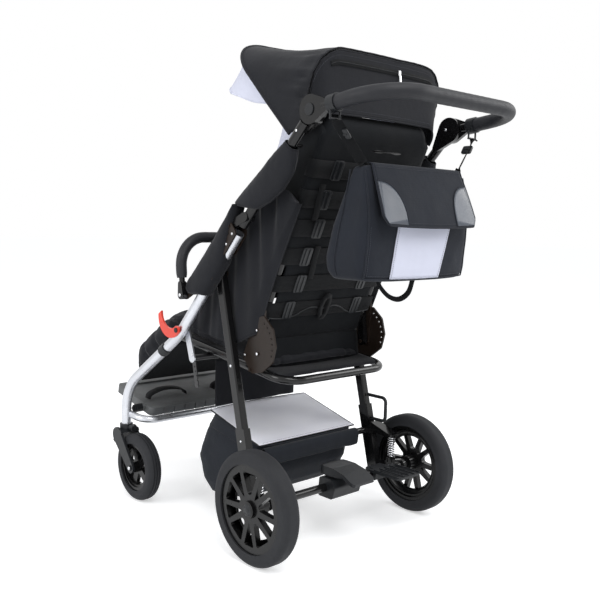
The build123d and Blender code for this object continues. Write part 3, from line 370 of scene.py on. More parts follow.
class Kit:
    """Collects simple forms into one piece."""

    def __init__(self):
        self.verts = []
        self.faces = []

    def grid(self, rows, closed=False, loop=False):
        """Skin over rows of points; closed joins each row's ends, loop joins the last row to the first."""
        base = len(self.verts)
        wide, tall = len(rows[0]), len(rows)
        for row in rows:
            self.verts += [tuple(p) for p in row]
        for j in range(tall if loop else tall - 1):
            this, other = base + j * wide, base + (j + 1) % tall * wide
            for i in range(wide if closed else wide - 1):
                k = (i + 1) % wide
                self.faces.append((this + i, this + k, other + k, other + i))
        return self

    def fan(self, row, reverse=False):
        """Flat cap over a closed row."""
        base = len(self.verts)
        self.verts += [tuple(p) for p in row]
        ring = list(range(base, base + len(row)))
        self.faces.append(tuple(reversed(ring)) if reverse else tuple(ring))
        return self

    def sweep(self, points, section, up=None, loop=False):
        """Section, as (side, up) pairs or a function of the share along, carried along a line."""
        pts = [Vector(p) for p in points]
        count = len(pts)
        side = None
        rows = []
        for i, p in enumerate(pts):
            if loop:
                way = (pts[(i + 1) % count] - pts[i - 1]).normalized()
            else:
                way = (pts[min(i + 1, count - 1)] - pts[max(i - 1, 0)]).normalized()
            if up is not None:
                side = way.cross(Vector(up)).normalized()
            elif side is None:
                side = way.orthogonal().normalized()
            else:
                side = (side - way * side.dot(way)).normalized()
            rise = side.cross(way).normalized()
            shape = section(i / max(1, count - 1)) if callable(section) else section
            rows.append([p + side * a + rise * b for a, b in shape])
        self.grid(rows, closed=True, loop=loop)
        if not loop:
            self.fan(rows[0])
            self.fan(rows[-1], True)
        return self

    def tube(self, points, radius, sides=8, **more):
        ring = [(cos(2 * pi * k / sides), sin(2 * pi * k / sides)) for k in range(sides)]
        if callable(radius):
            return self.sweep(points, lambda t: [(a * radius(t), b * radius(t)) for a, b in ring], **more)
        return self.sweep(points, [(a * radius, b * radius) for a, b in ring], **more)

    def strap(self, points, width, thick, up):
        """Flat band with rounded edges; up is the way its face looks."""
        w, t = width / 2, thick / 2
        shape = [(w, -t * 0.4), (w, t * 0.4), (w - t, t), (0, t * 1.15), (t - w, t), (-w, t * 0.4),
                 (-w, -t * 0.4), (t - w, -t), (0, -t * 1.15), (w - t, -t)]
        return self.sweep(points, shape, up=up)

    def block(self, centre, size, turn=None, power=6.0, seg=(20, 12)):
        """Rounded block."""
        turn = turn or Matrix.Identity(3)
        c = Vector(centre)
        k = 2 / power
        rows = []
        for j in range(seg[1] + 1):
            lat = -pi / 2 + pi * j / seg[1]
            flat = bent(cos(lat), k)
            row = []
            for i in range(seg[0]):
                lon = 2 * pi * i / seg[0]
                p = Vector((flat * bent(cos(lon), k) * size[0] / 2, flat * bent(sin(lon), k) * size[1] / 2,
                            bent(sin(lat), k) * size[2] / 2))
                row.append(c + turn @ p)
            rows.append(row)
        return self.grid(rows, closed=True)

    def dome(self, spot, way, radius, height, sides=16):
        """Rivet or bolt head on a surface."""
        way = Vector(way).normalized()
        a = way.orthogonal().normalized()
        b = way.cross(a)
        turns = [2 * pi * k / sides for k in range(sides)]
        rows = []
        for share, lift in ((1.0, 0.0), (1.0, 0.45), (0.86, 0.8), (0.5, 1.0), (0.02, 1.02)):
            rows.append([Vector(spot) + (a * cos(t) + b * sin(t)) * radius * share + way * height * lift
                         for t in turns])
        self.grid(rows, closed=True)
        return self.fan(rows[0], True)

    def stitches(self, points, pitch=5.0, length=3.2, thick=0.45):
        """Row of stitches along a line on the cloth."""
        line = even(points, pitch)
        for a, b in zip(line, line[1:]):
            run = (b - a).normalized() * length
            self.tube([a, a + run * 0.5, a + run], lambda t: thick * (0.55 + 0.45 * sin(pi * t)), sides=5)
        return self

    def mirror(self):
        """Add the right-hand copy of everything collected so far."""
        base = len(self.verts)
        self.verts += [(-x, y, z) for x, y, z in self.verts]
        self.faces += [tuple(base + i for i in reversed(f)) for f in list(self.faces)]
        return self

    def make(self, name, material, body, replaces=(), thick=0.0, level=0):
        mesh = bpy.data.meshes.new(name)
        mesh.from_pydata([to_m(v) for v in self.verts], [], self.faces)
        mesh.update()
        mesh.materials.append(material)
        obj = bpy.data.objects.new(name, mesh)
        scene.collection.objects.link(obj)
        mesh.shade_smooth()
        if thick:
            skin = obj.modifiers.new("cloth", "SOLIDIFY")
            skin.thickness = thick / 1000.0
            skin.offset = 0.0
        if level:
            subdivide(obj)
        return dress(obj, body, replaces)


def subdivide(obj):
    soft = obj.modifiers.new("soft", "SUBSURF")
    soft.levels = soft.render_levels = 1


def dress(obj, body, replaces=()):
    if body:
        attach(obj, body)
    if replaces:
        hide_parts(*replaces)
    return obj


def cloth_area(rows):
    """One-sided area of a grid of points, in square metres, with its greatest width and length."""
    pts = np.array([[tuple(p) for p in row] for row in rows])
    du = np.linalg.norm(np.diff(pts, axis=1), axis=2).sum(axis=1)
    dv = np.linalg.norm(np.diff(pts, axis=0), axis=2).sum(axis=0)
    a, b = pts[:-1, :-1], pts[1:, 1:]
    c, d = pts[:-1, 1:], pts[1:, :-1]
    area = np.linalg.norm(np.cross(b - a, d - c), axis=2).sum() / 2
    return area / 1e6, du.max() / 1000, dv.max() / 1000


def declare_sheet(rows, copies=1):
    area, width, length = cloth_area(rows)
    area = copies * min(area, 0.999 * width * length)


def sheet(rows, name, material, body, replaces=(), thick=1.4, level=0):
    """Cloth over rows of points; the flat size that the rows measure is worked out, and not kept."""
    obj = Kit().grid(rows).make(name, material, body, replaces, thick, level)
    declare_sheet(rows)
    return obj


# Camera

CAMERA = Vector((1518.74, 1467.38, 854.17))
YAW, PITCH, ROLL = radians(137.314), radians(5.616), radians(1.161)
FOCAL = 788.807 / 600         # share of the picture's width
SENSOR = 36.0

back = Vector((sin(YAW) * cos(PITCH), -cos(YAW) * cos(PITCH), sin(PITCH)))
level_right = Vector((cos(YAW), sin(YAW), 0.0))
level_up = back.cross(level_right)
right = cos(ROLL) * level_right + sin(ROLL) * level_up
upward = cos(ROLL) * level_up - sin(ROLL) * level_right
camera = bpy.data.objects.new("camera", bpy.data.cameras.new("camera"))
scene.collection.objects.link(camera)
camera.matrix_world = Matrix.Translation(to_m(CAMERA)) @ Matrix((right, upward, back)).transposed().to_4x4()
camera.data.sensor_fit = "HORIZONTAL"
camera.data.sensor_width = SENSOR
camera.data.lens = SENSOR * FOCAL
camera.data.clip_end = 100.0
scene.camera = camera
scene.view_settings.view_transform = "Standard"

# Light and floor, in metres and watts

SKY_LIGHT, SKY_SEEN = 0.62, 1.0
FLOOR_GLOW = 0.46
FLOOR_COLOR = (0.86, 0.87, 0.885, 1)
FLOOR_REACH = 30.0


def by_ray(tree, kinds, low, high):
    """A number that is high for these kinds of rays and low for the others."""
    path = tree.nodes.new("ShaderNodeLightPath")
    seen = path.outputs[kinds[0]]
    for kind in kinds[1:]:
        either = tree.nodes.new("ShaderNodeMath")
        either.operation = "MAXIMUM"
        tree.links.new(seen, either.inputs[0])
        tree.links.new(path.outputs[kind], either.inputs[1])
        seen = either.outputs[0]
    level = tree.nodes.new("ShaderNodeMapRange")
    level.inputs["To Min"].default_value = low
    level.inputs["To Max"].default_value = high
    tree.links.new(seen, level.inputs["Value"])
    return level.outputs["Result"]


def lamp(name, spot, size, watts):
    """Round soft lamp, aimed at the middle of the stroller."""
    data = bpy.data.lights.new(name, "AREA")
    data.shape = "DISK"
    data.size = size
    data.energy = watts
    obj = bpy.data.objects.new(name, data)
    scene.collection.objects.link(obj)
    obj.location = spot
    obj.rotation_euler = (Vector((0, 0, 0.7)) - Vector(spot)).to_track_quat("-Z", "Y").to_euler()


world = bpy.data.worlds.new("studio")
scene.world = world
world.use_nodes = True
tree = world.node_tree
sky = tree.nodes["Background"]
sky.inputs["Color"].default_value = (1, 1, 1, 1)
strength = by_ray(tree, ("Is Camera Ray", "Is Glossy Ray", "Is Transmission Ray"), SKY_LIGHT, SKY_SEEN)
tree.links.new(strength, sky.inputs["Strength"])
lamp("key", (0.6, 2.2, 3.4), 2.4, 70.0)
lamp("side", (3.0, -0.4, 1.9), 1.8, 36.0)
lamp("far", (-2.4, 1.4, 2.0), 1.6, 30.0)

floor_mesh = bpy.data.meshes.new("floor")
corners = [(FLOOR_REACH * x, FLOOR_REACH * y, 0) for x, y in ((-1, -1), (1, -1), (1, 1), (-1, 1))]
floor_mesh.from_pydata(corners, [], [(0, 1, 2, 3)])
floor = bpy.data.objects.new("floor", floor_mesh)
scene.collection.objects.link(floor)
ground = bpy.data.materials.new("floor")
ground.use_nodes = True
tree = ground.node_tree
tree.nodes.clear()
plain = tree.nodes.new("ShaderNodeBsdfDiffuse")
plain.inputs["Color"].default_value = FLOOR_COLOR
glow = tree.nodes.new("ShaderNodeEmission")
tree.links.new(by_ray(tree, ("Is Camera Ray", "Is Glossy Ray"), 0.0, FLOOR_GLOW), glow.inputs["Strength"])
both = tree.nodes.new("ShaderNodeAddShader")
tree.links.new(plain.outputs[0], both.inputs[0])
tree.links.new(glow.outputs[0], both.inputs[1])
out = tree.nodes.new("ShaderNodeOutputMaterial")
tree.links.new(both.outputs[0], out.inputs["Surface"])
floor_mesh.materials.append(ground)

# Frames of the tilted parts


def turned(pivot, degrees, shift=0.0):
    """Maps (x, along Y, along Z) of a part that is turned about X at a pivot, and set off along its own Y."""
    a = radians(degrees)

    def place(x, y, z):
        y += shift
        return Vector((x, pivot[0] + y * cos(a) - z * sin(a), pivot[1] + y * sin(a) + z * cos(a)))

    def find(p):
        y, z = p[1] - pivot[0], p[2] - pivot[1]
        return (p[0], y * cos(a) + z * sin(a) - shift, -y * sin(a) + z * cos(a))

    place.find = find
    place.rear = place(0, 1, 0) - place(0, 0, 0)
    place.up = place(0, 0, 1) - place(0, 0, 0)
    return place


SEAT = turned((-13.0, 445.0), -7.46)
BACK = turned((-109.0, 509.0), -24.0, -40.0)
REST = turned((-513.73, 510.57), 36.0)
HANDLE = turned((133.0, 1111.0), 7.0)
BUMPER = turned((-335.0, 650.0), 6.0)
FOOT = turned((-650.0, 268.0), -12.0)

# Padded pieces: remeshed from their solids, blown up as cloth, then quilted

PUFF_FRAMES = 20
PUFF_MOST = 8.0               # how far the pressure may move a point
WING_X, WING_REAR = 128.0, -95.0
WING_MOVE = 0.034             # metres


def coords(mesh):
    out = np.zeros(len(mesh.vertices) * 3)
    mesh.vertices.foreach_get("co", out)
    return out


def start_pad(node, name, material, voxel, shrink):
    obj = bpy.data.objects.new(name, NODES[node].data.copy())
    scene.collection.objects.link(obj)
    block = obj.modifiers.new("remesh", "REMESH")
    block.mode = "VOXEL"
    block.voxel_size = voxel / 1000.0
    graph = bpy.context.evaluated_depsgraph_get()
    mesh = bpy.data.meshes.new_from_object(obj.evaluated_get(graph))
    obj.modifiers.clear()
    obj.data = mesh
    mesh.name = name
    normals = np.zeros(len(mesh.vertices) * 3)
    mesh.vertex_normals.foreach_get("vector", normals)
    mesh.vertices.foreach_set("co", coords(mesh) - normals * shrink / 1000.0)
    mesh.update()
    mesh.materials.clear()
    mesh.materials.append(material)
    return obj


def blow_up(pads):
    """Cloth under pressure for a few frames, each point held near where it began."""
    starts = {}
    for obj in pads:
        starts[obj.name] = coords(obj.data).reshape(-1, 3)
        sim = obj.modifiers.new("puff", "CLOTH")
        sim.settings.quality = 5
        sim.settings.mass = 0.3
        sim.settings.tension_stiffness = 12
        sim.settings.compression_stiffness = 12
        sim.settings.bending_stiffness = 0.4
        sim.settings.use_pressure = True
        sim.settings.uniform_pressure_force = 4.0
        sim.settings.effector_weights.gravity = 0.0
        sim.collision_settings.use_collision = False
        sim.collision_settings.use_self_collision = False
        sim.point_cache.frame_start = 1
        sim.point_cache.frame_end = PUFF_FRAMES
    for number in range(1, PUFF_FRAMES + 1):
        scene.frame_set(number)
    graph = bpy.context.evaluated_depsgraph_get()
    for obj in pads:
        move = coords(obj.evaluated_get(graph).to_mesh()).reshape(-1, 3) - starts[obj.name]
        far = np.linalg.norm(move, axis=1, keepdims=True)
        move *= np.minimum(1.0, PUFF_MOST / 1000.0 / np.maximum(far, 1e-9))
        obj.evaluated_get(graph).to_mesh_clear()
        obj.modifiers.clear()
        obj.data.vertices.foreach_set("co", (starts[obj.name] + move).ravel())
        obj.data.update()
    scene.frame_set(1)


def quilt(obj, place, channels, folds=1.2):
    """Press sewn channels, as (axis, station, depth, width), into a pad and give it small hollows."""
    for v in obj.data.vertices:
        p = to_mm(v.co)
        local = place.find(p)
        press = 0.0
        for axis, station, depth, width in channels:
            gap = (local[axis] if axis else abs(local[0])) - station
            press += depth * exp(-(gap / width) ** 2)
        press += folds * (0.5 + ripple(p, 55.0) + 0.5 * ripple(p, 22.0, 3.0))
        v.co -= v.normal * press / 1000.0
    obj.data.update()


# Each pad's node, name, material, body, voxel, shrink and fill
PADS = [("back_cushion", "back_pad", BLACK, "backrest", 6.0, 5.0, 0.7),
        ("seat_cushion", "seat_pad", BLACK, "front_frame", 6.0, 4.0, 0.7),
        ("leg_rest_pad", "calf_pad", BLACK, "leg_rest", 6.0, 6.0, 0.8),
        ("headrest", "head_pad", GREY, "headrest", 5.0, 5.0, 0.8)]
pads = [start_pad(node, name, material, voxel, shrink) for node, name, material, _, voxel, shrink, _ in PADS]
back_pad, seat_pad, calf_pad, head_pad = pads
blow_up(pads)
quilt(back_pad, BACK, [(2, 220.0, 6.0, 7.0), (2, 320.0, 6.0, 7.0), (2, 435.0, 5.0, 7.0),
                       (0, 120.0, 4.0, 6.0)])
quilt(seat_pad, SEAT, [(1, -420.0, 6.0, 7.0), (1, -300.0, 5.0, 7.0), (0, 128.0, 4.0, 6.0)])
quilt(calf_pad, REST, [(1, -150.0, 7.0, 8.0), (1, -222.0, 7.0, 8.0), (0, 130.0, 5.0, 7.0)])
quilt(head_pad, BACK, [(0, WING_X, 5.0, 5.0)], 0.8)
for v in head_pad.data.vertices:
    x, rear, _ = BACK.find(to_mm(v.co))
    v.co -= BACK.rear * WING_MOVE * smooth((abs(x) - WING_X) / 22) * smooth((WING_REAR - rear) / 44)
for obj, (node, _, material, body, _, _, fill) in zip(pads, PADS):
    obj.data.shade_smooth()
    subdivide(obj)
    dress(obj, body, (node,))

# Canopy: curved sheets stretched between the bows, gathered at the sides of the middle one

HOOD = (58.0, 1036.0)
HOOD_FOOT = 42.0
HOOD_CROWN = 5.0
SIDE_STEPS, CORNER_STEPS, TOP_STEPS = 18, 14, 26
# Bows: angle, reach, corner radius and foot
HEM = (56.0, 92.0, 44.0, HOOD_FOOT)
MIDDLE = (74.2, 232.0, 80.0, HOOD_FOOT)
TUCK = (77.0, 231.2, 80.0, HOOD_FOOT)
FRONT_START = (74.5, 237.0, 84.0, HOOD_FOOT)
FRONT_BOW = (135.0, 409.0, 135.0, HOOD_FOOT)
VISOR_START = (134.2, 396.0, 135.0, 150.0)
VISOR_END = (151.0, 382.0, 105.0, 262.0)
REAR_HALF, FRONT_HALF, VISOR_HALF = 230.5, 237.5, 232.0
REAR_STEPS, TUCK_STEPS, FRONT_STEPS, VISOR_STEPS = 26, 4, 44, 18
BRIM_CUT = 62.0
ZIP_ROW, ZIP_ENDS = 21, 28


def hood_line(half, reach, corner, foot):
    """One bow's line across the hood, as (x, reach) pairs from left to right."""
    left = [(half, lerp(foot, reach - corner, i / SIDE_STEPS)) for i in range(SIDE_STEPS)]
    for i in range(CORNER_STEPS):
        a = pi / 2 * i / CORNER_STEPS
        left.append((half - corner + corner * cos(a), reach - corner + corner * sin(a)))
    top = [((half - corner) * (1 - 2 * i / TOP_STEPS), reach) for i in range(TOP_STEPS + 1)]
    line = left + top + [(-x, s) for x, s in reversed(left)]
    return [(x, s + HOOD_CROWN * (1 - (x / half) ** 2) * smooth((s - foot) / (reach - foot)))
            for x, s in line]


def bow_row(bow, half):
    """One bow's points, each with how far it is down the hood's side and up from its foot."""
    angle, reach, corner, foot = bow
    c, s = cos(radians(angle)), sin(radians(angle))
    row = []
    for x, r in hood_line(half, reach, corner, foot):
        down = smooth((abs(x) - half + corner) / corner)
        row.append((Vector((x, HOOD[0] + r * c, HOOD[1] + r * s)), down, smooth((r - foot) / 90)))
    return row


def hood_rows(bows, counts, half, sags, gathers):
    """Rows of cloth between bows; gathers are (share of the way over the part, depth, spread)."""
    lines = [bow_row(bow, half) for bow in bows]
    rows = []
    done = 0
    for first, second, count, sag in zip(lines, lines[1:], counts, sags):
        for j in range(count + (second is lines[-1])):
            t = j / count
            share = (done + j) / sum(counts)
            row = []
            for i, ((p, side, high), (q, _, _)) in enumerate(zip(first, second)):
                run = first[min(i + 1, len(first) - 1)][0] - first[max(i - 1, 0)][0]
                face = run.cross(q - p).normalized()
                spot = lerp(p, q, t)
                lift = -sag * sin(pi * t) * high * (1 - 0.3 * side) + 2.2 * ripple(spot, 90.0, 1.0) * high
                for centre, depth, spread in gathers:
                    near = exp(-((share - centre) / spread) ** 2) * (0.2 + 0.8 * side) * high
                    wave = sin(i * 1.9 + 1.3 * sin(i * 0.7)) + 0.6 * sin(i * 0.83 + 9 * share)
                    lift += depth * near * wave
                row.append(spot + face * lift)
            rows.append(row)
        done += count
    return rows


rear_rows = hood_rows([HEM, MIDDLE, TUCK], [REAR_STEPS, TUCK_STEPS], REAR_HALF, [7.0, 0.0],
                      [(0.87, 1.6, 0.2)])
rear_hood = sheet(rear_rows, "hood_rear", BLACK, "upper_frame",
                  ("canopy_rear",), 1.6)
front_rows = hood_rows([FRONT_START, FRONT_BOW], [FRONT_STEPS], FRONT_HALF, [10.0],
                       [(0.12, 3.6, 0.1), (0.3, 1.4, 0.25)])
front_hood = sheet(front_rows, "hood_front", BLACK, "canopy",
                   ("canopy_front",), 1.6)
visor_rows = []
for j, row in enumerate(hood_rows([VISOR_START, VISOR_END], [VISOR_STEPS], VISOR_HALF, [4.0], [])):
    near_brim = max(0.0, j / VISOR_STEPS - 0.4) / 0.6
    visor_rows.append(trimmed(row, 1.0 + BRIM_CUT * (1 - sqrt(1 - 0.97 * near_brim ** 2))))
visor = sheet(visor_rows, "hood_visor", GREY, "canopy",
              ("canopy_visor",), 2.0)

rear_edges = Kit().tube(rear_rows[0], 2.4).tube(rear_rows[REAR_STEPS], 1.6)
rear_edges = rear_edges.make("hood_rear_piping", BLACK, "upper_frame")
front_edges = Kit().tube(front_rows[-1], 4.2, sides=10).tube(front_rows[-7], 1.1, sides=6)
front_edges = front_edges.tube(front_rows[0], 1.6).make("hood_front_binding", BLACK, "canopy")
visor_edge = Kit().tube(visor_rows[-1], 2.6)
for end in (0, -1):
    visor_edge.tube([r[end] for r in visor_rows], 1.8)
visor_edge = visor_edge.make("hood_visor_brim", GREY, "canopy")

zip_line = shifted(rear_rows[ZIP_ROW][ZIP_ENDS:-ZIP_ENDS], 2.4, 0.4)
zip_tape = Kit().strap(zip_line, 13.0, 1.2, (0, 1, -0.08)).make("hood_zip_tape", STRAP, "upper_frame")
teeth = Kit()
for spot in even(shifted(zip_line, 1.0), 3.2):
    teeth.block(spot, (1.7, 1.6, 3.2), seg=(6, 4), power=4)
zip_teeth = teeth.make("hood_zip_teeth", PLASTIC, "upper_frame")
pull_at = zip_line[len(zip_line) // 2 + 4]
pull_drop = [pull_at + Vector(p) for p in ((0, 3, 0), (-1, 6, -9), (-2, 6, -22), (-2, 5, -31))]
tab = Kit().strap(pull_drop, 8.0, 1.8, (0, 1, 0.1)).block(pull_at + Vector((0, 3, 1)), (9, 5, 11))
zip_pull = tab.make("hood_zip_pull", STEEL, "upper_frame")
hood_seams = Kit()
for row in (REAR_STEPS - 2, 2):
    hood_seams.stitches(shifted(rear_rows[row], 1.0), 6.0)
seams_rear = hood_seams.make("hood_rear_stitches", THREAD, "upper_frame")
# Each hood piece gets a mesh of its own; on the real stroller the cloth crumples towards the upper tubes as
# the frame folds
for piece in (rear_hood, front_hood, visor, rear_edges, front_edges, visor_edge, zip_tape, zip_teeth,
              zip_pull, seams_rear):
    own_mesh(piece)

# Foam on the push handle and the bumper bar

HANDLE_X, HANDLE_BEND, GRIP_R = 260.0, 110.0, 18.0
BUMPER_X, BUMPER_BEND, BUMPER_R = 294.0, 80.0, 15.0


def foam_tube(points, radius, wrinkle):
    line = even(points, 7.0)

    def fat(t):
        ends = smooth(min(t, 1 - t) * len(line) / 1.6)
        return radius * (0.86 + 0.14 * ends) + wrinkle * sin(t * len(line) * 1.7) * sin(pi * t)

    return Kit().tube(line, fat, sides=28)


arm = [HANDLE(HANDLE_X, 66.0, 0), HANDLE(HANDLE_X, 230.0, 0)]
grip = foam_tube(rounded_run(arm + mirrored(arm), HANDLE_BEND, 18), GRIP_R, 0.12)
grip = grip.make("grip_foam", FOAM, "handle", ("handle_grip",))
rings = Kit()
for hand in HANDS:
    for start in (58.0, 64.0):
        rings.tube([HANDLE(HANDLE_X * hand, y, 0) for y in (start, start + 4.0)], 15.2, sides=24)
rings.make("grip_collars", PLASTIC, "handle")
leg = [BUMPER(BUMPER_X, 0, 47.0), BUMPER(BUMPER_X, 0, 158.0)]
bumper = foam_tube(rounded_run(leg + mirrored(leg), BUMPER_BEND, 16), BUMPER_R, 0.15)
bumper = bumper.make("bumper_cover", FOAM, "bumper", ("bumper_foam",))

# Bag on the handle: a lofted shell that sags

BAG_LOW, BAG_HIGH = 722.0, 990.0
BAG_HALF = 200.0
BAG_WIDTH = [(0, 193), (0.12, 200), (0.5, 199), (1, 187)]
BAG_REAR = [(0, 242), (0.1, 246), (0.55, 254), (0.88, 241), (1, 233)]
BAG_FRONT = [(0, 126), (0.08, 112), (0.2, 108), (0.45, 128), (0.78, 166), (1, 193)]
BAG_SQUARE = 9                # how square the bag is across
PANEL_LOW, PANEL_HIGH = 728.0, 862.0
ROUND = 120
TURNS_ROUND = [2 * pi * (i + 0.5) / ROUND for i in range(ROUND)]


def bag_at(share, turn, swell=1.0):
    """Point on the bag's skin: share of its height from the bottom, turn round it."""
    rear, front = along(BAG_REAR, share), along(BAG_FRONT, share)
    x = along(BAG_WIDTH, share) * bent(cos(turn), 2 / BAG_SQUARE) * swell
    y = (rear + front) / 2 + (rear - front) / 2 * bent(sin(turn), 2 / 7) * swell
    return Vector((x, y, lerp(BAG_LOW, BAG_HIGH, share)))


def bag_skin(p, share):
    """Slack of the bag's cloth."""
    middle = 1 - min(1.0, (p.x / BAG_HALF) ** 2)
    centre = (along(BAG_REAR, share) + along(BAG_FRONT, share)) / 2
    bulge = 5.0 * sin(pi * share) * middle * (1 if p.y > centre else -0.6)
    crease = 2.6 * ripple(p, 60.0, 5.0) + 1.2 * ripple((p.x, p.y * 3, p.z), 26.0, 7.0)
    outer = abs(p.x) > BAG_HALF - 15
    tuck = -15.0 * exp(-((p.y - centre) / 13) ** 2) * exp(-((share - 0.4) / 0.36) ** 2)
    aside = (crease * 0.6 + tuck) * (1 if p.x > 0 else -1) if outer else 0
    return p + Vector((aside, bulge + crease * 0.7, -6.0 * (1 - share) ** 6 * middle))


def bag_face(x, z, off):
    """Point a little off the bag's rear face."""
    share = (z - BAG_LOW) / (BAG_HIGH - BAG_LOW)
    c = min(0.999, abs(x) / along(BAG_WIDTH, share)) ** (BAG_SQUARE / 2)
    turn = np.arccos(c) if x >= 0 else pi - np.arccos(c)
    p = bag_skin(bag_at(share, turn), share)
    return Vector((x, p.y + off, p.z))


def panel_x(u, z):
    """Station across the grey panel, which hangs a little askew."""
    t = (z - PANEL_LOW) / (PANEL_HIGH - PANEL_LOW)
    return lerp(14.0, -6.0, t) + u * lerp(93.0, 100.0, t)


bag_rows = []
for share, swell in ((0.0, 0.02), (0.0, 0.45), (0.0, 0.8), (0.0, 0.93), (0.012, 0.975), (0.035, 0.995)):
    row = [bag_at(share, turn, swell) for turn in TURNS_ROUND]
    bag_rows.append([p + Vector((0, 0, -5.0 * (1 - min(1.0, (p.x / BAG_HALF) ** 2)))) for p in row])
for share in np.linspace(0.06, 0.95, 34):
    bag_rows.append([bag_skin(bag_at(share, turn), share) for turn in TURNS_ROUND])
for share, swell in ((0.975, 0.985), (0.992, 0.95), (1.0, 0.85), (1.0, 0.5), (1.0, 0.02)):
    bag_rows.append([bag_at(share, turn, swell) for turn in TURNS_ROUND])
bag = Kit().grid(bag_rows, closed=True).make("bag_shell", BAG, "bag", ("bag_body",), level=1)

panel_rows = [[bag_face(panel_x(u, z), z, 1.6) for u in np.linspace(-1, 1, 18)]
              for z in np.linspace(PANEL_LOW, PANEL_HIGH, 17)]
sheet(panel_rows, "bag_panel", GREY, "bag")
bag_trim = Kit()
bag_sewing = Kit()
for hand in HANDS:
    bag_trim.tube([bag_face(186 * hand, z, 1.0) for z in np.linspace(728, 976, 26)], 2.0)
    flank = [bag_at(s, 0.0 if hand > 0 else pi) for s in np.linspace(0.04, 0.96, 20)]
    bag_trim.tube([p + Vector((0.5 * hand, -24, 0)) for p in flank], 1.6)
    bag_sewing.stitches([bag_face(180 * hand, z, 1.3) for z in np.linspace(734, 848, 20)])
    bag_sewing.stitches([bag_face(panel_x(0.95 * hand, z), z, 2.6) for z in np.linspace(732, 848, 20)])
bag_trim.tube([bag_face(x, 727, 1.2) for x in np.linspace(-185, 185, 30)], 2.0).make("bag_piping", BAG, "bag")
bag_sewing.stitches([bag_face(x, 734, 1.5) for x in np.linspace(-178, 178, 30)])
bag_sewing.make("bag_stitches", THREAD, "bag")

# Flap: stands a little off the bag, with two rounded corner patches

FLAP_TOP, FLAP_LOW = 991, 853
FLAP_HALF_TOP, FLAP_HALF_LOW = 166, 177
FLAP_REAR_TOP, FLAP_REAR_LOW = 234.0, 284.0
PATCH_ACROSS, PATCH_DOWN = 0.46, 0.70


def flap_at(u, v, off=0.0):
    """u across from left, v down from the fold at the top."""
    corner = 16 * max(0.0, v - 0.86) / 0.14 * max(0.0, abs(u) - 0.9) * 10
    half = lerp(FLAP_HALF_TOP, FLAP_HALF_LOW, v) - corner
    z = lerp(FLAP_TOP, FLAP_LOW, v) - 5.0 * v * (1 - u * u)
    y = lerp(FLAP_REAR_TOP, FLAP_REAR_LOW, v ** 1.1) + 6.0 * sin(pi * v) * (1 - 0.5 * u * u) + off
    p = Vector((u * half - 5.0 * v, y, z))
    return p + Vector((0, 1.4 * ripple(p, 50.0, 9.0), 0))


def flap_top(u, t):
    """The flap's fold over the bag's top edge."""
    return Vector((u * FLAP_HALF_TOP, lerp(206.0, FLAP_REAR_TOP, t), FLAP_TOP + 0.6 + 2.0 * sin(pi * t)))


us = np.linspace(-1, 1, 40)
flap_rows = [[flap_top(u, t) for u in us] for t in (0.0, 0.33, 0.66)]
flap_rows += [[flap_at(u, v) for u in us] for v in np.linspace(0, 1, 26)]
sheet(flap_rows, "bag_flap_cloth", BAG, "bag_flap", ("bag_flap",), 4.0)
patches = Kit()
edges = Kit()
for hand in HANDS:
    rows = []
    for t in np.linspace(0, 1, 14):
        row = []
        for a in np.linspace(0, pi / 2, 16):
            u = hand * (0.985 - PATCH_ACROSS * t * cos(a) ** 0.8)
            row.append(flap_at(u, 0.975 - PATCH_DOWN * t * sin(a) ** 0.8, 2.9))
        rows.append(row)
    patches.grid(rows if hand > 0 else [list(reversed(r)) for r in rows])
    edges.tube(rows[-1], 1.5)
patches.make("bag_flap_patches", PATCH, "bag_flap", thick=1.0)
sides_down = np.linspace(0, 1, 20)
edge_line = [(-1, v) for v in sides_down] + [(u, 1) for u in us[1:-1]]
edge_line += [(1, v) for v in reversed(sides_down)]
edges.tube([flap_at(u, v, 0.5) for u, v in edge_line], 2.8).make("bag_flap_piping", BAG, "bag_flap")
flap_sewing = Kit().stitches([flap_at(u, 0.94, 2.6) for u in np.linspace(-0.5, 0.5, 30)])
flap_sewing.stitches([flap_at(u, 0.04, 2.8) for u in np.linspace(-0.95, 0.95, 40)])
flap_sewing.make("bag_flap_stitches", THREAD, "bag_flap")

# Bag straps from the D-rings, and the spare webbing loop under the bag
RING = (258.0, 203.0, 1085.0)
STRAP_LOW = (183.0, 216.0, 992.0)
hang = Kit()
knots = Kit()
for hand in HANDS:
    ring = Vector((RING[0] * hand, *RING[1:]))
    low = Vector((STRAP_LOW[0] * hand, *STRAP_LOW[1:]))
    line = [ring + Vector((0, 6, -1)), ring + Vector((-3 * hand, 5, -8)),
            lerp(ring, low, 0.5) + Vector((0, 3, 0)), low + Vector((2 * hand, 1, 6)),
            low + Vector((-6 * hand, 0, 1.5)), low + Vector((-34 * hand, 0, 1.0))]
    hang.strap(curve_through(line, 30), 24.0, 2.0, (0.8 * hand, 0.1, 0.6))
    inner = lerp(ring, low, 0.34)
    lean = (low - ring).normalized()
    side = Vector((0, 1, 0))
    turn = Matrix((side, lean.cross(side), lean)).transposed()
    knots.block(inner, (30, 7, 26), turn, power=7)
    knots.block(inner + lean.cross(side) * 3.6, (22, 3, 5), turn, power=5)
hang.make("bag_webbing", STRAP, "bag", ("bag_straps",))
knots.make("bag_buckles", PLASTIC, "bag")
LOOP = [(70, 176, 720), (62, 178, 700), (36, 184, 676), (4, 190, 668), (-24, 196, 684), (-36, 200, 720)]
Kit().strap(curve_through(LOOP, 36), 14.0, 1.8, (0.15, 0.9, 0.45)).make("bag_loop", STRAP, "bag")

# Basket and its lid

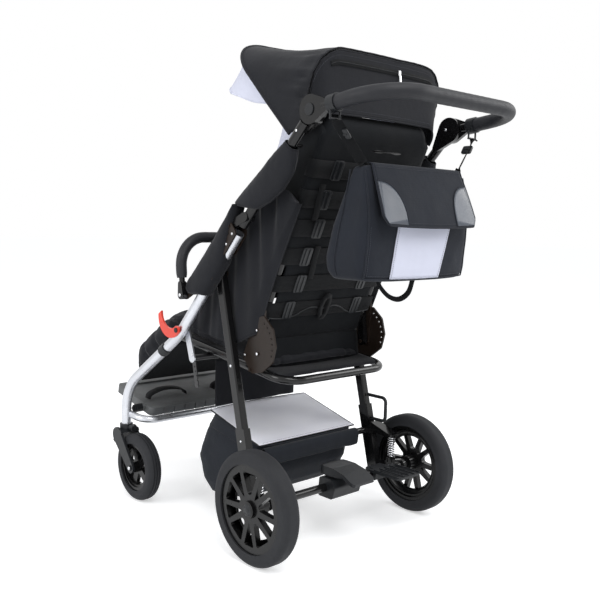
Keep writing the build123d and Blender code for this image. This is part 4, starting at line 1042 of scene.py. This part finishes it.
BASKET_FRONT = [(0, (-384.0, 60.0)), (0.15, (-412.0, 96.0)), (0.45, (-428.0, 162.0)), (0.74, (-398.0, 240.0)),
                (1, (-352.0, 305.0))]
BASKET_REAR = [(0, (-215.0, 82.0)), (0.15, (-166.0, 118.0)), (0.42, (-145.0, 158.0)), (0.72, (-132.0, 206.0)),
               (1, (-126.5, 246.0))]
BASKET_WIDTH = [(0, 168.0), (0.15, 182.0), (0.45, 188.0), (0.75, 186.0), (1, 184.0)]
BAND_FROM = 0.84
BAR_Y, BAR_Z, BAR_HALF = -118.0, 232.0, 181
SLEEVE_LINE = [(9.5, -34), (12.4, -16), (13.2, -4), (12.6, 5), (7, 12.2), (-2, 13.2), (-9, 10.5), (-13.0, 4),
               (-12.6, -4), (-7, -11.4), (2, -12.4)]
LID_HALF = 184.5


def basket_at(share, turn, swell=1.0, off=0.0):
    """Point on the basket: share of its height from the bottom, turn round it."""
    fy, fz = along(BASKET_FRONT, share)
    ry, rz = along(BASKET_REAR, share)
    x = along(BASKET_WIDTH, share) * bent(cos(turn), 2 / 8) * swell
    d = bent(sin(turn), 2 / 7) * swell
    p = Vector((x, (ry + fy) / 2 + (ry - fy) / 2 * d, (rz + fz) / 2 + (rz - fz) / 2 * d))
    slack = sin(pi * min(1.0, share * 1.05)) if swell > 0.99 else 0.0
    out = Vector((x / 185.0, d, 0))
    out = out.normalized() if out.length > 0.2 else Vector((0, 0, 0))
    crease = 3.0 * ripple((p.x, p.y, p.z * 0.4), 46.0, 11.0) + 1.6 * ripple(p, 24.0, 13.0)
    return p + out * (crease * slack + off)


def basket_ring(share, **more):
    return [basket_at(share, turn, **more) for turn in TURNS_ROUND]


basket_rows = [basket_ring(0.0, swell=k) for k in (0.02, 0.4, 0.75, 0.92)]
basket_rows += [basket_ring(s) for s in np.linspace(0.0, 1.0, 34)]
basket = Kit().grid(basket_rows, closed=True)
basket = basket.make("basket_shell", BASKET, "rear_legs", ("basket",), thick=2.0)
band_rows = [basket_ring(s, off=1.6) for s in np.linspace(BAND_FROM, 1.0, 8)]
band = Kit().grid(band_rows, closed=True).make("basket_band", BASKET, "rear_legs", thick=1.6)
basket_trim = Kit().tube(basket_ring(1.0, off=1.0), 2.6, loop=True)
basket_trim.tube(basket_ring(BAND_FROM, off=2.0), 1.2, sides=6, loop=True)
basket_trim.make("basket_piping", BASKET, "rear_legs")
sleeve_rows = []
for x in np.linspace(-BAR_HALF, BAR_HALF, 70):
    puff = 1 + 0.04 * ripple((x, 0, 0), 30.0, 41.0)
    wave = 2.2 * ripple((x, 0, 0), 44.0, 43.0)
    sleeve_rows.append([Vector((x, BAR_Y + y * puff, BAR_Z + z * puff + (wave if z < -20 else 0)))
                        for y, z in SLEEVE_LINE])
sheet(sleeve_rows, "basket_bar_sleeve", BASKET, "rear_legs", thick=1.6, level=1)
lid_rows = []
for t in np.linspace(0, 1, 30):
    row = []
    for u in np.linspace(-1, 1, 44):
        edge = 1 - max(u ** 8, (2 * t - 1) ** 8)
        y = lerp(-129.5, -351.5, t)
        z = lerp(250.6, 309.4, t) - 7.0 * sin(pi * t) * (1 - u ** 4)
        z += 5.0 * smooth((t - 0.8) / 0.2) * (1 - u * u)
        p = Vector((u * LID_HALF, y, z))
        row.append(p + Vector((0, 0, 2.0 * edge * ripple(p, 80.0, 15.0))))
    lid_rows.append(row)
# The cover's cloth is the grey cloth made lighter, painted light against the shade it sits in
sheet(lid_rows, "basket_cover", LID_PAINTED_LIGHT, "basket_lid", ("basket_lid",), 2.4)
border = lid_rows[0][1:-1] + [r[-1] for r in lid_rows]
border += list(reversed(lid_rows[-1][1:-1])) + [r[0] for r in reversed(lid_rows)]
Kit().tube(border, 2.0, loop=True).make("basket_cover_edge", BLACK, "basket_lid")
lid_seam = Kit().stitches(shifted(lid_rows[0][2:-2], -8, 3.6))
lid_seam.make("basket_cover_stitches", THREAD, "basket_lid")

# Curtain under the seat, with a mesh of its own; the real one draws up as the frame folds
CURTAIN_Y, CURTAIN_TOP = -336, 460
curtain_rows = []
for z in np.linspace(458, 322, 16):
    row = []
    for u in np.linspace(0, 1, 40):
        wave = 7 * ripple((u * 300, 0, z * 0.3), 40.0, 17.0) * (CURTAIN_TOP - z) / 150
        row.append(Vector((lerp(-125, 179, u), CURTAIN_Y + wave, z)))
    curtain_rows.append(row)
curtain = sheet(curtain_rows, "seat_curtain", BLACK, "front_frame", thick=1.6)
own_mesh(curtain)

# Seat sling between the rails, with a turned hem over the rear loop
SLING_HALF, SLING_REAR, SLING_FRONT, SLING_UP = 193, -26, -478, 10.9
sling_rows = []
for t in np.linspace(0, 1, 26):
    row = []
    for u in np.linspace(-1, 1, 34):
        sag = -9.0 * (1 - u * u) * smooth(t * 5) * (1 if t < 0.25 else 0.2)
        hem = 4.0 * smooth((0.06 - t) / 0.06)
        wave = 4.0 * ripple((u * 200, 0, 0), 40.0, 19.0) * smooth((0.12 - t) / 0.12)
        p = SEAT(u * SLING_HALF, lerp(SLING_REAR, SLING_FRONT, t), SLING_UP + sag - hem)
        row.append(p + Vector((0, wave, -1.2)))
    sling_rows.append(row)
sheet(sling_rows, "seat_sling", BLACK, "front_frame")

# Lining under the leg rest, drawn round its end bar
LINING = [(-22, -11.5), (-150, -11.5), (-262, -11.5), (-286, -11.0), (-296, -4.0), (-297, 6.0), (-290, 14.0)]
LINING_HALF = 176
lining_line = curve_through([(0, y, z) for y, z in LINING], 30)
lining_rows = []
for x in np.linspace(-LINING_HALF, LINING_HALF, 40):
    row = []
    for q in lining_line:
        spot = (x, q.y, 0)
        row.append(REST(x, q.y + 1.5 * ripple(spot, 50.0, 45.0), q.z - 1.0 * abs(ripple(spot, 40.0, 47.0))))
    lining_rows.append(row)
sheet(lining_rows, "calf_lining", BACKING, "leg_rest")

# Side cloth: gathered under the upper tube, falling in folds to the seat

SIDE_TOP = [(0, (-400, 577)), (0.25, (-302, 668)), (0.5, (-206, 780)), (0.7, (-124, 874)), (0.82, (-70, 938)),
            (0.92, (-8, 926)), (1, (52, 908))]
SIDE_LOW = [(0, (-390, 548)), (0.25, (-300, 534)), (0.5, (-200, 522)), (0.68, (-118, 560)),
            (0.82, (-52, 712)), (1, (40, 898))]
SIDE_X, SIDE_RUFFLE_X, SIDE_TIED_X = 220.0, 223.0, 208.5
SIDE_COLUMNS, SIDE_RUFFLE_FROM = 110, 70


def side_cloth(hand):
    rows = []
    for v in np.linspace(0, 1, 34):
        row = []
        for u in np.linspace(0, 1, SIDE_COLUMNS):
            y, z = (lerp(a, b, v) for a, b in zip(along(SIDE_TOP, u), along(SIDE_LOW, u)))
            ruffle = smooth((u - 0.6) / 0.2) * (1 - smooth(v / 0.75))
            fold = sin(u * 40 + 2.2 * sin(u * 9) + 1.2 * v) + 0.4 * sin(u * 71 + 3 * v)
            x = lerp(SIDE_X, SIDE_RUFFLE_X, ruffle) + (3.2 + 11.0 * ruffle) * fold * 0.66
            z += 11.0 * ruffle * sin(u * 40 + 1.4)
            tied = smooth((v - 0.8) / 0.2) * smooth((u - 0.62) / 0.1)
            row.append(Vector((hand * lerp(x, SIDE_TIED_X, tied), y + 4.0 * tied, z)))
        rows.append(row)
    return rows


left_rows, right_rows = side_cloth(1), side_cloth(-1)
sides = Kit().grid(left_rows).grid([list(reversed(r)) for r in right_rows])
sides = sides.make("side_cloth", BLACK, "front_frame", ("side_panels",), thick=1.4)
declare_sheet(left_rows, copies=2)
hems = Kit()
for rows in (left_rows, right_rows):
    hems.tube(rows[-1], 1.6, sides=6).tube(rows[0][SIDE_RUFFLE_FROM:], 1.9, sides=6)
side_hem = hems.make("side_cloth_hem", BLACK, "front_frame")
for piece in (sides, side_hem):
    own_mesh(piece)

# Cloth sleeves round the side tubes

# Edges: along the tube, ahead of it and behind it
LOWER_EDGES = [(6, 64, 22), (24, 69, 4), (40, 68, -17), (100, 64, -21), (162, 59, -19), (219, 55, 4),
               (282, 50, 29), (306, 47, 40)]
UPPER_EDGES = [(16, 64, 46), (34, 62, 20), (54, 58, -8), (100, 50, -32), (152, 40, -48), (205, 30, -47),
               (232, 23, -34), (250, 18, -18)]
SLEEVE_SIDES = 48


def sleeve(start, end, edges, reach, outer, name, body):
    """Flat cloth sleeve round a side tube, standing off it by reach inside and by outer outside."""
    kit, trim = Kit(), Kit()
    a, b = Vector(start), Vector(end)
    way = (b - a).normalized()
    ahead = Vector((0, -way.z, way.y)).normalized()
    stops = [(s, (f, r)) for s, f, r in edges]
    rows = []
    for s in np.linspace(edges[0][0], edges[-1][0], 46):
        front, rear = along(stops, s)
        row = []
        for k in range(SLEEVE_SIDES):
            turn = 2 * pi * k / SLEEVE_SIDES
            c, h = cos(turn), sin(turn)
            outward = 1 if c >= 0 else -1
            n = lerp(rear, front, 0.5 + 0.5 * bent(h, 0.8))
            bow = (outer if c >= 0 else reach) * abs(c) ** 0.5 - 0.0022 * min(70.0, abs(n)) ** 2
            p = a + way * s + ahead * n + Vector((max(2.0, bow) * outward, 0, 0))
            slack = 2.2 * ripple(p, 48.0, 21.0) + 1.2 * abs(ripple(p, 20.0, 23.0))
            row.append(p + Vector((slack, 0, 0)) * outward)
        rows.append(row)
    quarter = SLEEVE_SIDES // 4
    for skin, rear_edge in ((rows, 3 * quarter), ([mirrored(row) for row in rows], quarter - 1)):
        kit.grid(skin, closed=True)
        for edge in (quarter, rear_edge):
            trim.tube([r[edge] for r in skin], 1.7, sides=6)
        for hem in (skin[0], skin[-1]):
            trim.tube(hem, 1.5, sides=6, loop=True)
    obj = kit.make(name, BLACK, body, thick=1.4)
    declare_sheet([row + row[:1] for row in rows], copies=2)
    piping = trim.make(name + "_piping", BLACK, body)
    for piece in (obj, piping):
        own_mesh(piece)


sleeve((264.5, -296, 634), (262.0, -172, 778), LOWER_EDGES, 18.0, 30.0, "lower_sleeve", "front_frame")
sleeve((262.0, -104, 850), (260.3, 72, 1043), UPPER_EDGES, 16.0, 16.0, "upper_sleeve", "upper_frame")

# Cover of the back: behind the frame from the seat up, round its tubes, over the top and down in front

COVER_REAR, COVER_MIDDLE = 10.9, -26.0
COVER_LOW, COVER_HIGH, COVER_RISE = 20, 590, 46


def cover_line(up):
    """The cover across the back at a height, as (x, rear) pairs, with its sides drawn round the tubes."""
    wrap = smooth((up - 230) / 60)
    flank = 85.0 * smooth((up - 380) / 50)
    flat = [(176.0, COVER_REAR - 3), (177.0, COVER_REAR - 2), (177.0, COVER_REAR - 1), (176.0, COVER_REAR)]
    drawn = [(191.0, -12.0 - flank), (202.0, -4.0), (199.5, 7.0), (191.0, COVER_REAR)]
    edge = [(lerp(a, c, wrap), lerp(b, d, wrap), 0) for (a, b), (c, d) in zip(flat, drawn)]
    half = [(p.x, p.y) for p in curve_through(edge, 14)]
    inner = half[-1][0] - 8
    across = [(x, COVER_REAR - 1.5 * (1 - (x / 190) ** 2)) for x in np.linspace(inner, -inner, 30)]
    return half + across + [(-x, r) for x, r in reversed(half)]


cover_rows = []
for up in np.linspace(COVER_LOW, COVER_HIGH, 66):
    row = []
    for x, rear in cover_line(up):
        p = BACK(x, rear, up)
        row.append(p + BACK.rear * min(0.0, 1.6 * ripple(p, 60.0, 27.0) + 0.8 * ripple(p, 24.0, 29.0)))
    cover_rows.append(row)
for turn in np.linspace(0.12, 1, 10):
    row = []
    arch = sin(turn * pi)
    for x, rear in cover_line(COVER_HIGH):
        depth = COVER_MIDDLE + (rear - COVER_MIDDLE) * cos(turn * pi) if rear > -11 else rear
        rise = COVER_RISE * arch * (1 if abs(x) < 186 else 0.4)
        row.append(BACK(x * (1 - 0.05 * arch), depth, COVER_HIGH + rise))
    cover_rows.append(row)
back_cover = sheet(cover_rows, "back_cover", BACKING, "backrest")

# Skirt that closes the gap between the back's cover and the seat
SKIRT_HALF, SKIRT_TOP, SKIRT_LOW = 182, (-127.0, 541.0), (-116.0, 463.0)
skirt_rows = []
for t in np.linspace(0, 1, 12):
    y, z = (lerp(a, b, t) for a, b in zip(SKIRT_TOP, SKIRT_LOW))
    skirt_rows.append([Vector((x, y + 3.0 * ripple((x, 0, 0), 40.0, 37.0) * t, z))
                       for x in np.linspace(-SKIRT_HALF, SKIRT_HALF, 40)])
skirt = Kit().grid(skirt_rows).make("back_skirt", BACKING, "", thick=1.4)
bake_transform(skirt)
declare_sheet(skirt_rows)

# Tension straps on the back, with their buckles and loose tails
BAND_COUNT, BAND_FIRST, BAND_PITCH, BAND_REAR = 6, 112, 79.2, 13.4
BAND_SECTION = [(-1.0, 23.0), (1.0, 23.0), (1.2, 0.0), (1.0, -23.0), (-1.0, -23.0), (-1.2, 0.0)]
BAND_END = [(204.5, -3.0), (205.0, 3.0), (201.5, 10.0), (192.0, BAND_REAR)]
back_turn = Matrix((Vector(OUT), BACK.rear, BACK.up)).transposed()
bands = Kit()
clasps = Kit()
band_line = BAND_END + [(x, BAND_REAR) for x in np.linspace(180, -180, 24)]
band_line += [(-x, r) for x, r in reversed(BAND_END)]
for k in range(BAND_COUNT):
    up = BAND_FIRST + k * BAND_PITCH
    bands.sweep([BACK(x, r, up) for x, r in band_line], BAND_SECTION, up=BACK.up)
    for hand in HANDS:
        x = hand * (128 - 10 * (k % 2))
        clasps.block(BACK(x, 15.8, up), (34, 4.6, 52), back_turn, power=8)
        for bar in (x + 7, x - 7):
            clasps.block(BACK(bar, 18.4, up), (5, 3.4, 46), back_turn, power=5)
bands.make("back_bands", STRAP, "backrest", ("back_straps",))
clasps.make("back_buckles", PLASTIC, "backrest")
tails = Kit()
for hand, x, up in ((1, 150.0, 470.0), (-1, 146.0, 470.0), (1, 96.0, 300.0)):
    tail = [(x, 15.5, 0), (x, 16.5, -30), (x - 3, 19.0, -62), (x - 8, 17.0, -96)]
    tails.strap([BACK(hand * a, rear, up + drop) for a, rear, drop in tail], 20.0, 1.8, BACK.rear)
tails.make("back_strap_tails", STRAP, "backrest")

# Recline cable and its pull loop
CABLE_REAR = 15.4
CABLE_R, CABLE_LENGTH = 0.002, 0.405          # metres
half_route = [BACK(190.0, CABLE_REAR, 92.0), BACK(120.0, CABLE_REAR, 80.0), BACK(50.0, CABLE_REAR, 122.0)]
route = half_route + [BACK(0.0, CABLE_REAR, 106.0)] + mirrored(half_route)
data = bpy.data.curves.new("recline_cable", "CURVE")
data.dimensions = "3D"
data.bevel_depth = CABLE_R
data.bevel_resolution = 3
data.use_fill_caps = True
spline = data.splines.new("NURBS")
spline.points.add(len(route) - 1)
for point, spot in zip(spline.points, route):
    point.co = (*to_m(spot), 1.0)
spline.order_u = 3
spline.use_endpoint_u = True
spline.resolution_u = 12
data.materials.append(PLASTIC)
cable = bpy.data.objects.new("recline_cable", data)
scene.collection.objects.link(cable)
dress(cable, "backrest", ("recline_release",))
PULL = [(13, 19.5, 112), (12, 20.5, 134), (6, 21.5, 151), (-6, 21.5, 151), (-12, 20.5, 134), (-13, 19.5, 96),
        (-6, 20.0, 84), (6, 20.0, 84)]
pull_line = even([BACK(*p) for p in PULL + PULL[:1]], 6.0)[:-1]
PULL_SECTION = [(8.0, -0.9), (8.0, 0.9), (-8.0, 0.9), (-8.0, -0.9)]
pull_loop = Kit().sweep(pull_line, PULL_SECTION, up=BACK.rear, loop=True)
pull_loop = pull_loop.make("recline_pull", STRAP, "backrest")

# Rivets and bolts


def rivets(name, body, spots):
    """Heads on both sides, each a left-hand place, the way it looks, its radius and its height."""
    kit = Kit()
    for spot, way, radius, height in spots:
        kit.dome(spot, way, radius, height)
    kit.mirror().make(name, STEEL, body)


rivets("bracket_rivets", "front_frame", [
    ((282.2, -149.5, 842.5), OUT, 4.5, 2.4), ((282.2, -134, 822), OUT, 3.4, 1.8),
    ((282.2, -158, 795), OUT, 3.4, 1.8), ((284.4, -236, 712), OUT, 4.0, 2.0),
    ((304.0, -335, 650), OUT, 5.0, 2.4), ((284.4, -290, 678), OUT, 3.4, 1.8),
    ((255.2, -345, 478), OUT, 3.6, 1.8), ((215.0, -109, 509), OUT, 4.2, 2.2),
    ((214.0, -112, 571), OUT, 3.2, 1.8), ((214.0, -160, 500), OUT, 3.2, 1.8)])
rivets("upper_rivets", "upper_frame", [
    ((234.4, 133, 1111), (-1, 0, 0), 4.0, 2.0), ((272.8, 92, 1066), OUT, 3.2, 1.6)])
rivets("handle_rivets", "handle", [((270.7, 187, 1115.7), OUT, 3.4, 1.8)])
rivets("leg_rivets", "rear_legs", [
    ((249.0, -176, 471), OUT, 4.0, 2.2), ((249.0, -128, 276), OUT, 3.4, 2.0),
    ((249.0, -104, 180), OUT, 3.4, 2.0)])
rivets("axle_bolts", "rear_axle", [((260.4, -90, 122), OUT, 6.0, 3.0)])

# Hub caps, dishes behind the rear spokes, and the front axles' bolts
REAR_X, REAR_HUB_X, REAR_Z = 302.0, 328.6, 145
FRONT_X, FRONT_FORK, FRONT_Y, FRONT_Z = 278, 35.2, -589, 102
DISH = [(-18.0, 99.0), (-15.0, 92.0), (-9.0, 84.0), (-1.0, 79.0), (1.0, 80.5), (-7.0, 86.0), (-12.0, 93.0),
        (-14.0, 99.0)]
for hand, side in ((1, "left"), (-1, "right")):
    x, way = REAR_HUB_X * hand, (hand, 0, 0)
    cap = Kit()
    for radius, depth in ((16.0, 1.6), (9.0, 2.6)):
        cap.dome((x, 0, REAR_Z), way, radius, depth, 32)
    for k in range(5):
        a = 2 * pi * k / 5 + 0.3
        cap.dome((x, 12.5 * cos(a), REAR_Z + 12.5 * sin(a)), way, 1.6, 2.4, 10)
    cap.make("rear_hub_" + side, PLASTIC, "rear_wheel_" + side)
    ring_rows = [[Vector((hand * (REAR_X + aside), r * cos(a), REAR_Z + r * sin(a))) for aside, r in DISH]
                 for a in np.linspace(0, 2 * pi, 72, endpoint=False)]
    Kit().grid(ring_rows, closed=True, loop=True).make("rear_dish_" + side, RIM, "rear_wheel_" + side)
    front = Kit()
    for end in HANDS:
        front.dome((hand * FRONT_X + end * FRONT_FORK, FRONT_Y, FRONT_Z), (end, 0, 0), 5.5, 2.6)
    front.make("front_axle_bolts_" + side, STEEL, "caster_" + side)

# Black clamp bands on the silver tubes
CLAMP_AT, CLAMP_WAY = Vector((272.4, -455.0, 480.8)), Vector((0.0236, -0.8198, -0.5721))
clamps = Kit()
for reach, radius in ((13.0, 17.2), (14.5, 16.4)):
    clamps.tube([CLAMP_AT - CLAMP_WAY * reach, CLAMP_AT + CLAMP_WAY * reach], radius, sides=32)
clamps.block(CLAMP_AT + Vector((6, 10, 14)), (16, 12, 12), power=5)
clamps.mirror().make("tube_bands", PLASTIC, "front_frame")

# Coil springs between the axle's arms and the legs' lugs, with a mesh of their own; the real ones shorten
# there
WIRE, TURNS, PER_TURN = 1.6, 9, 24
spring_low, spring_high = ([1000 * v for v in corner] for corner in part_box("rear_springs"))
coil_r = (spring_high[1] - spring_low[1]) / 2 - WIRE
coil_x = spring_high[0] - WIRE - coil_r
coil_y = (spring_low[1] + spring_high[1]) / 2 - AXLE_Y
helix = []
for i in range(TURNS * PER_TURN + 1):
    a = 2 * pi * i / PER_TURN
    z = lerp(spring_low[2] + WIRE, spring_high[2] - WIRE, i / (TURNS * PER_TURN))
    helix.append(Vector((coil_x + coil_r * cos(a), coil_y + coil_r * sin(a), z)))
coils = Kit().tube(helix, WIRE, sides=10).mirror()
coils = coils.make("coil_springs", CHROME, "rear_axle", ("rear_springs",))
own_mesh(coils)

# Footrest straps
HEEL = [(196, -26, 13), (188, -28, 27), (150, -32, 37), (105, -32, 37), (64, -28, 27), (56, -26, 13)]
HEEL_SECTION = [(-0.9, 14.0), (0.9, 14.0), (0.9, -14.0), (-0.9, -14.0)]
heel = Kit()
for hand in HANDS:
    line = curve_through([FOOT(hand * x, y, z) for x, y, z in HEEL], 30)
    heel.sweep(line, HEEL_SECTION, up=FOOT.rear)
heel.make("foot_straps", STRAP, "footrest")
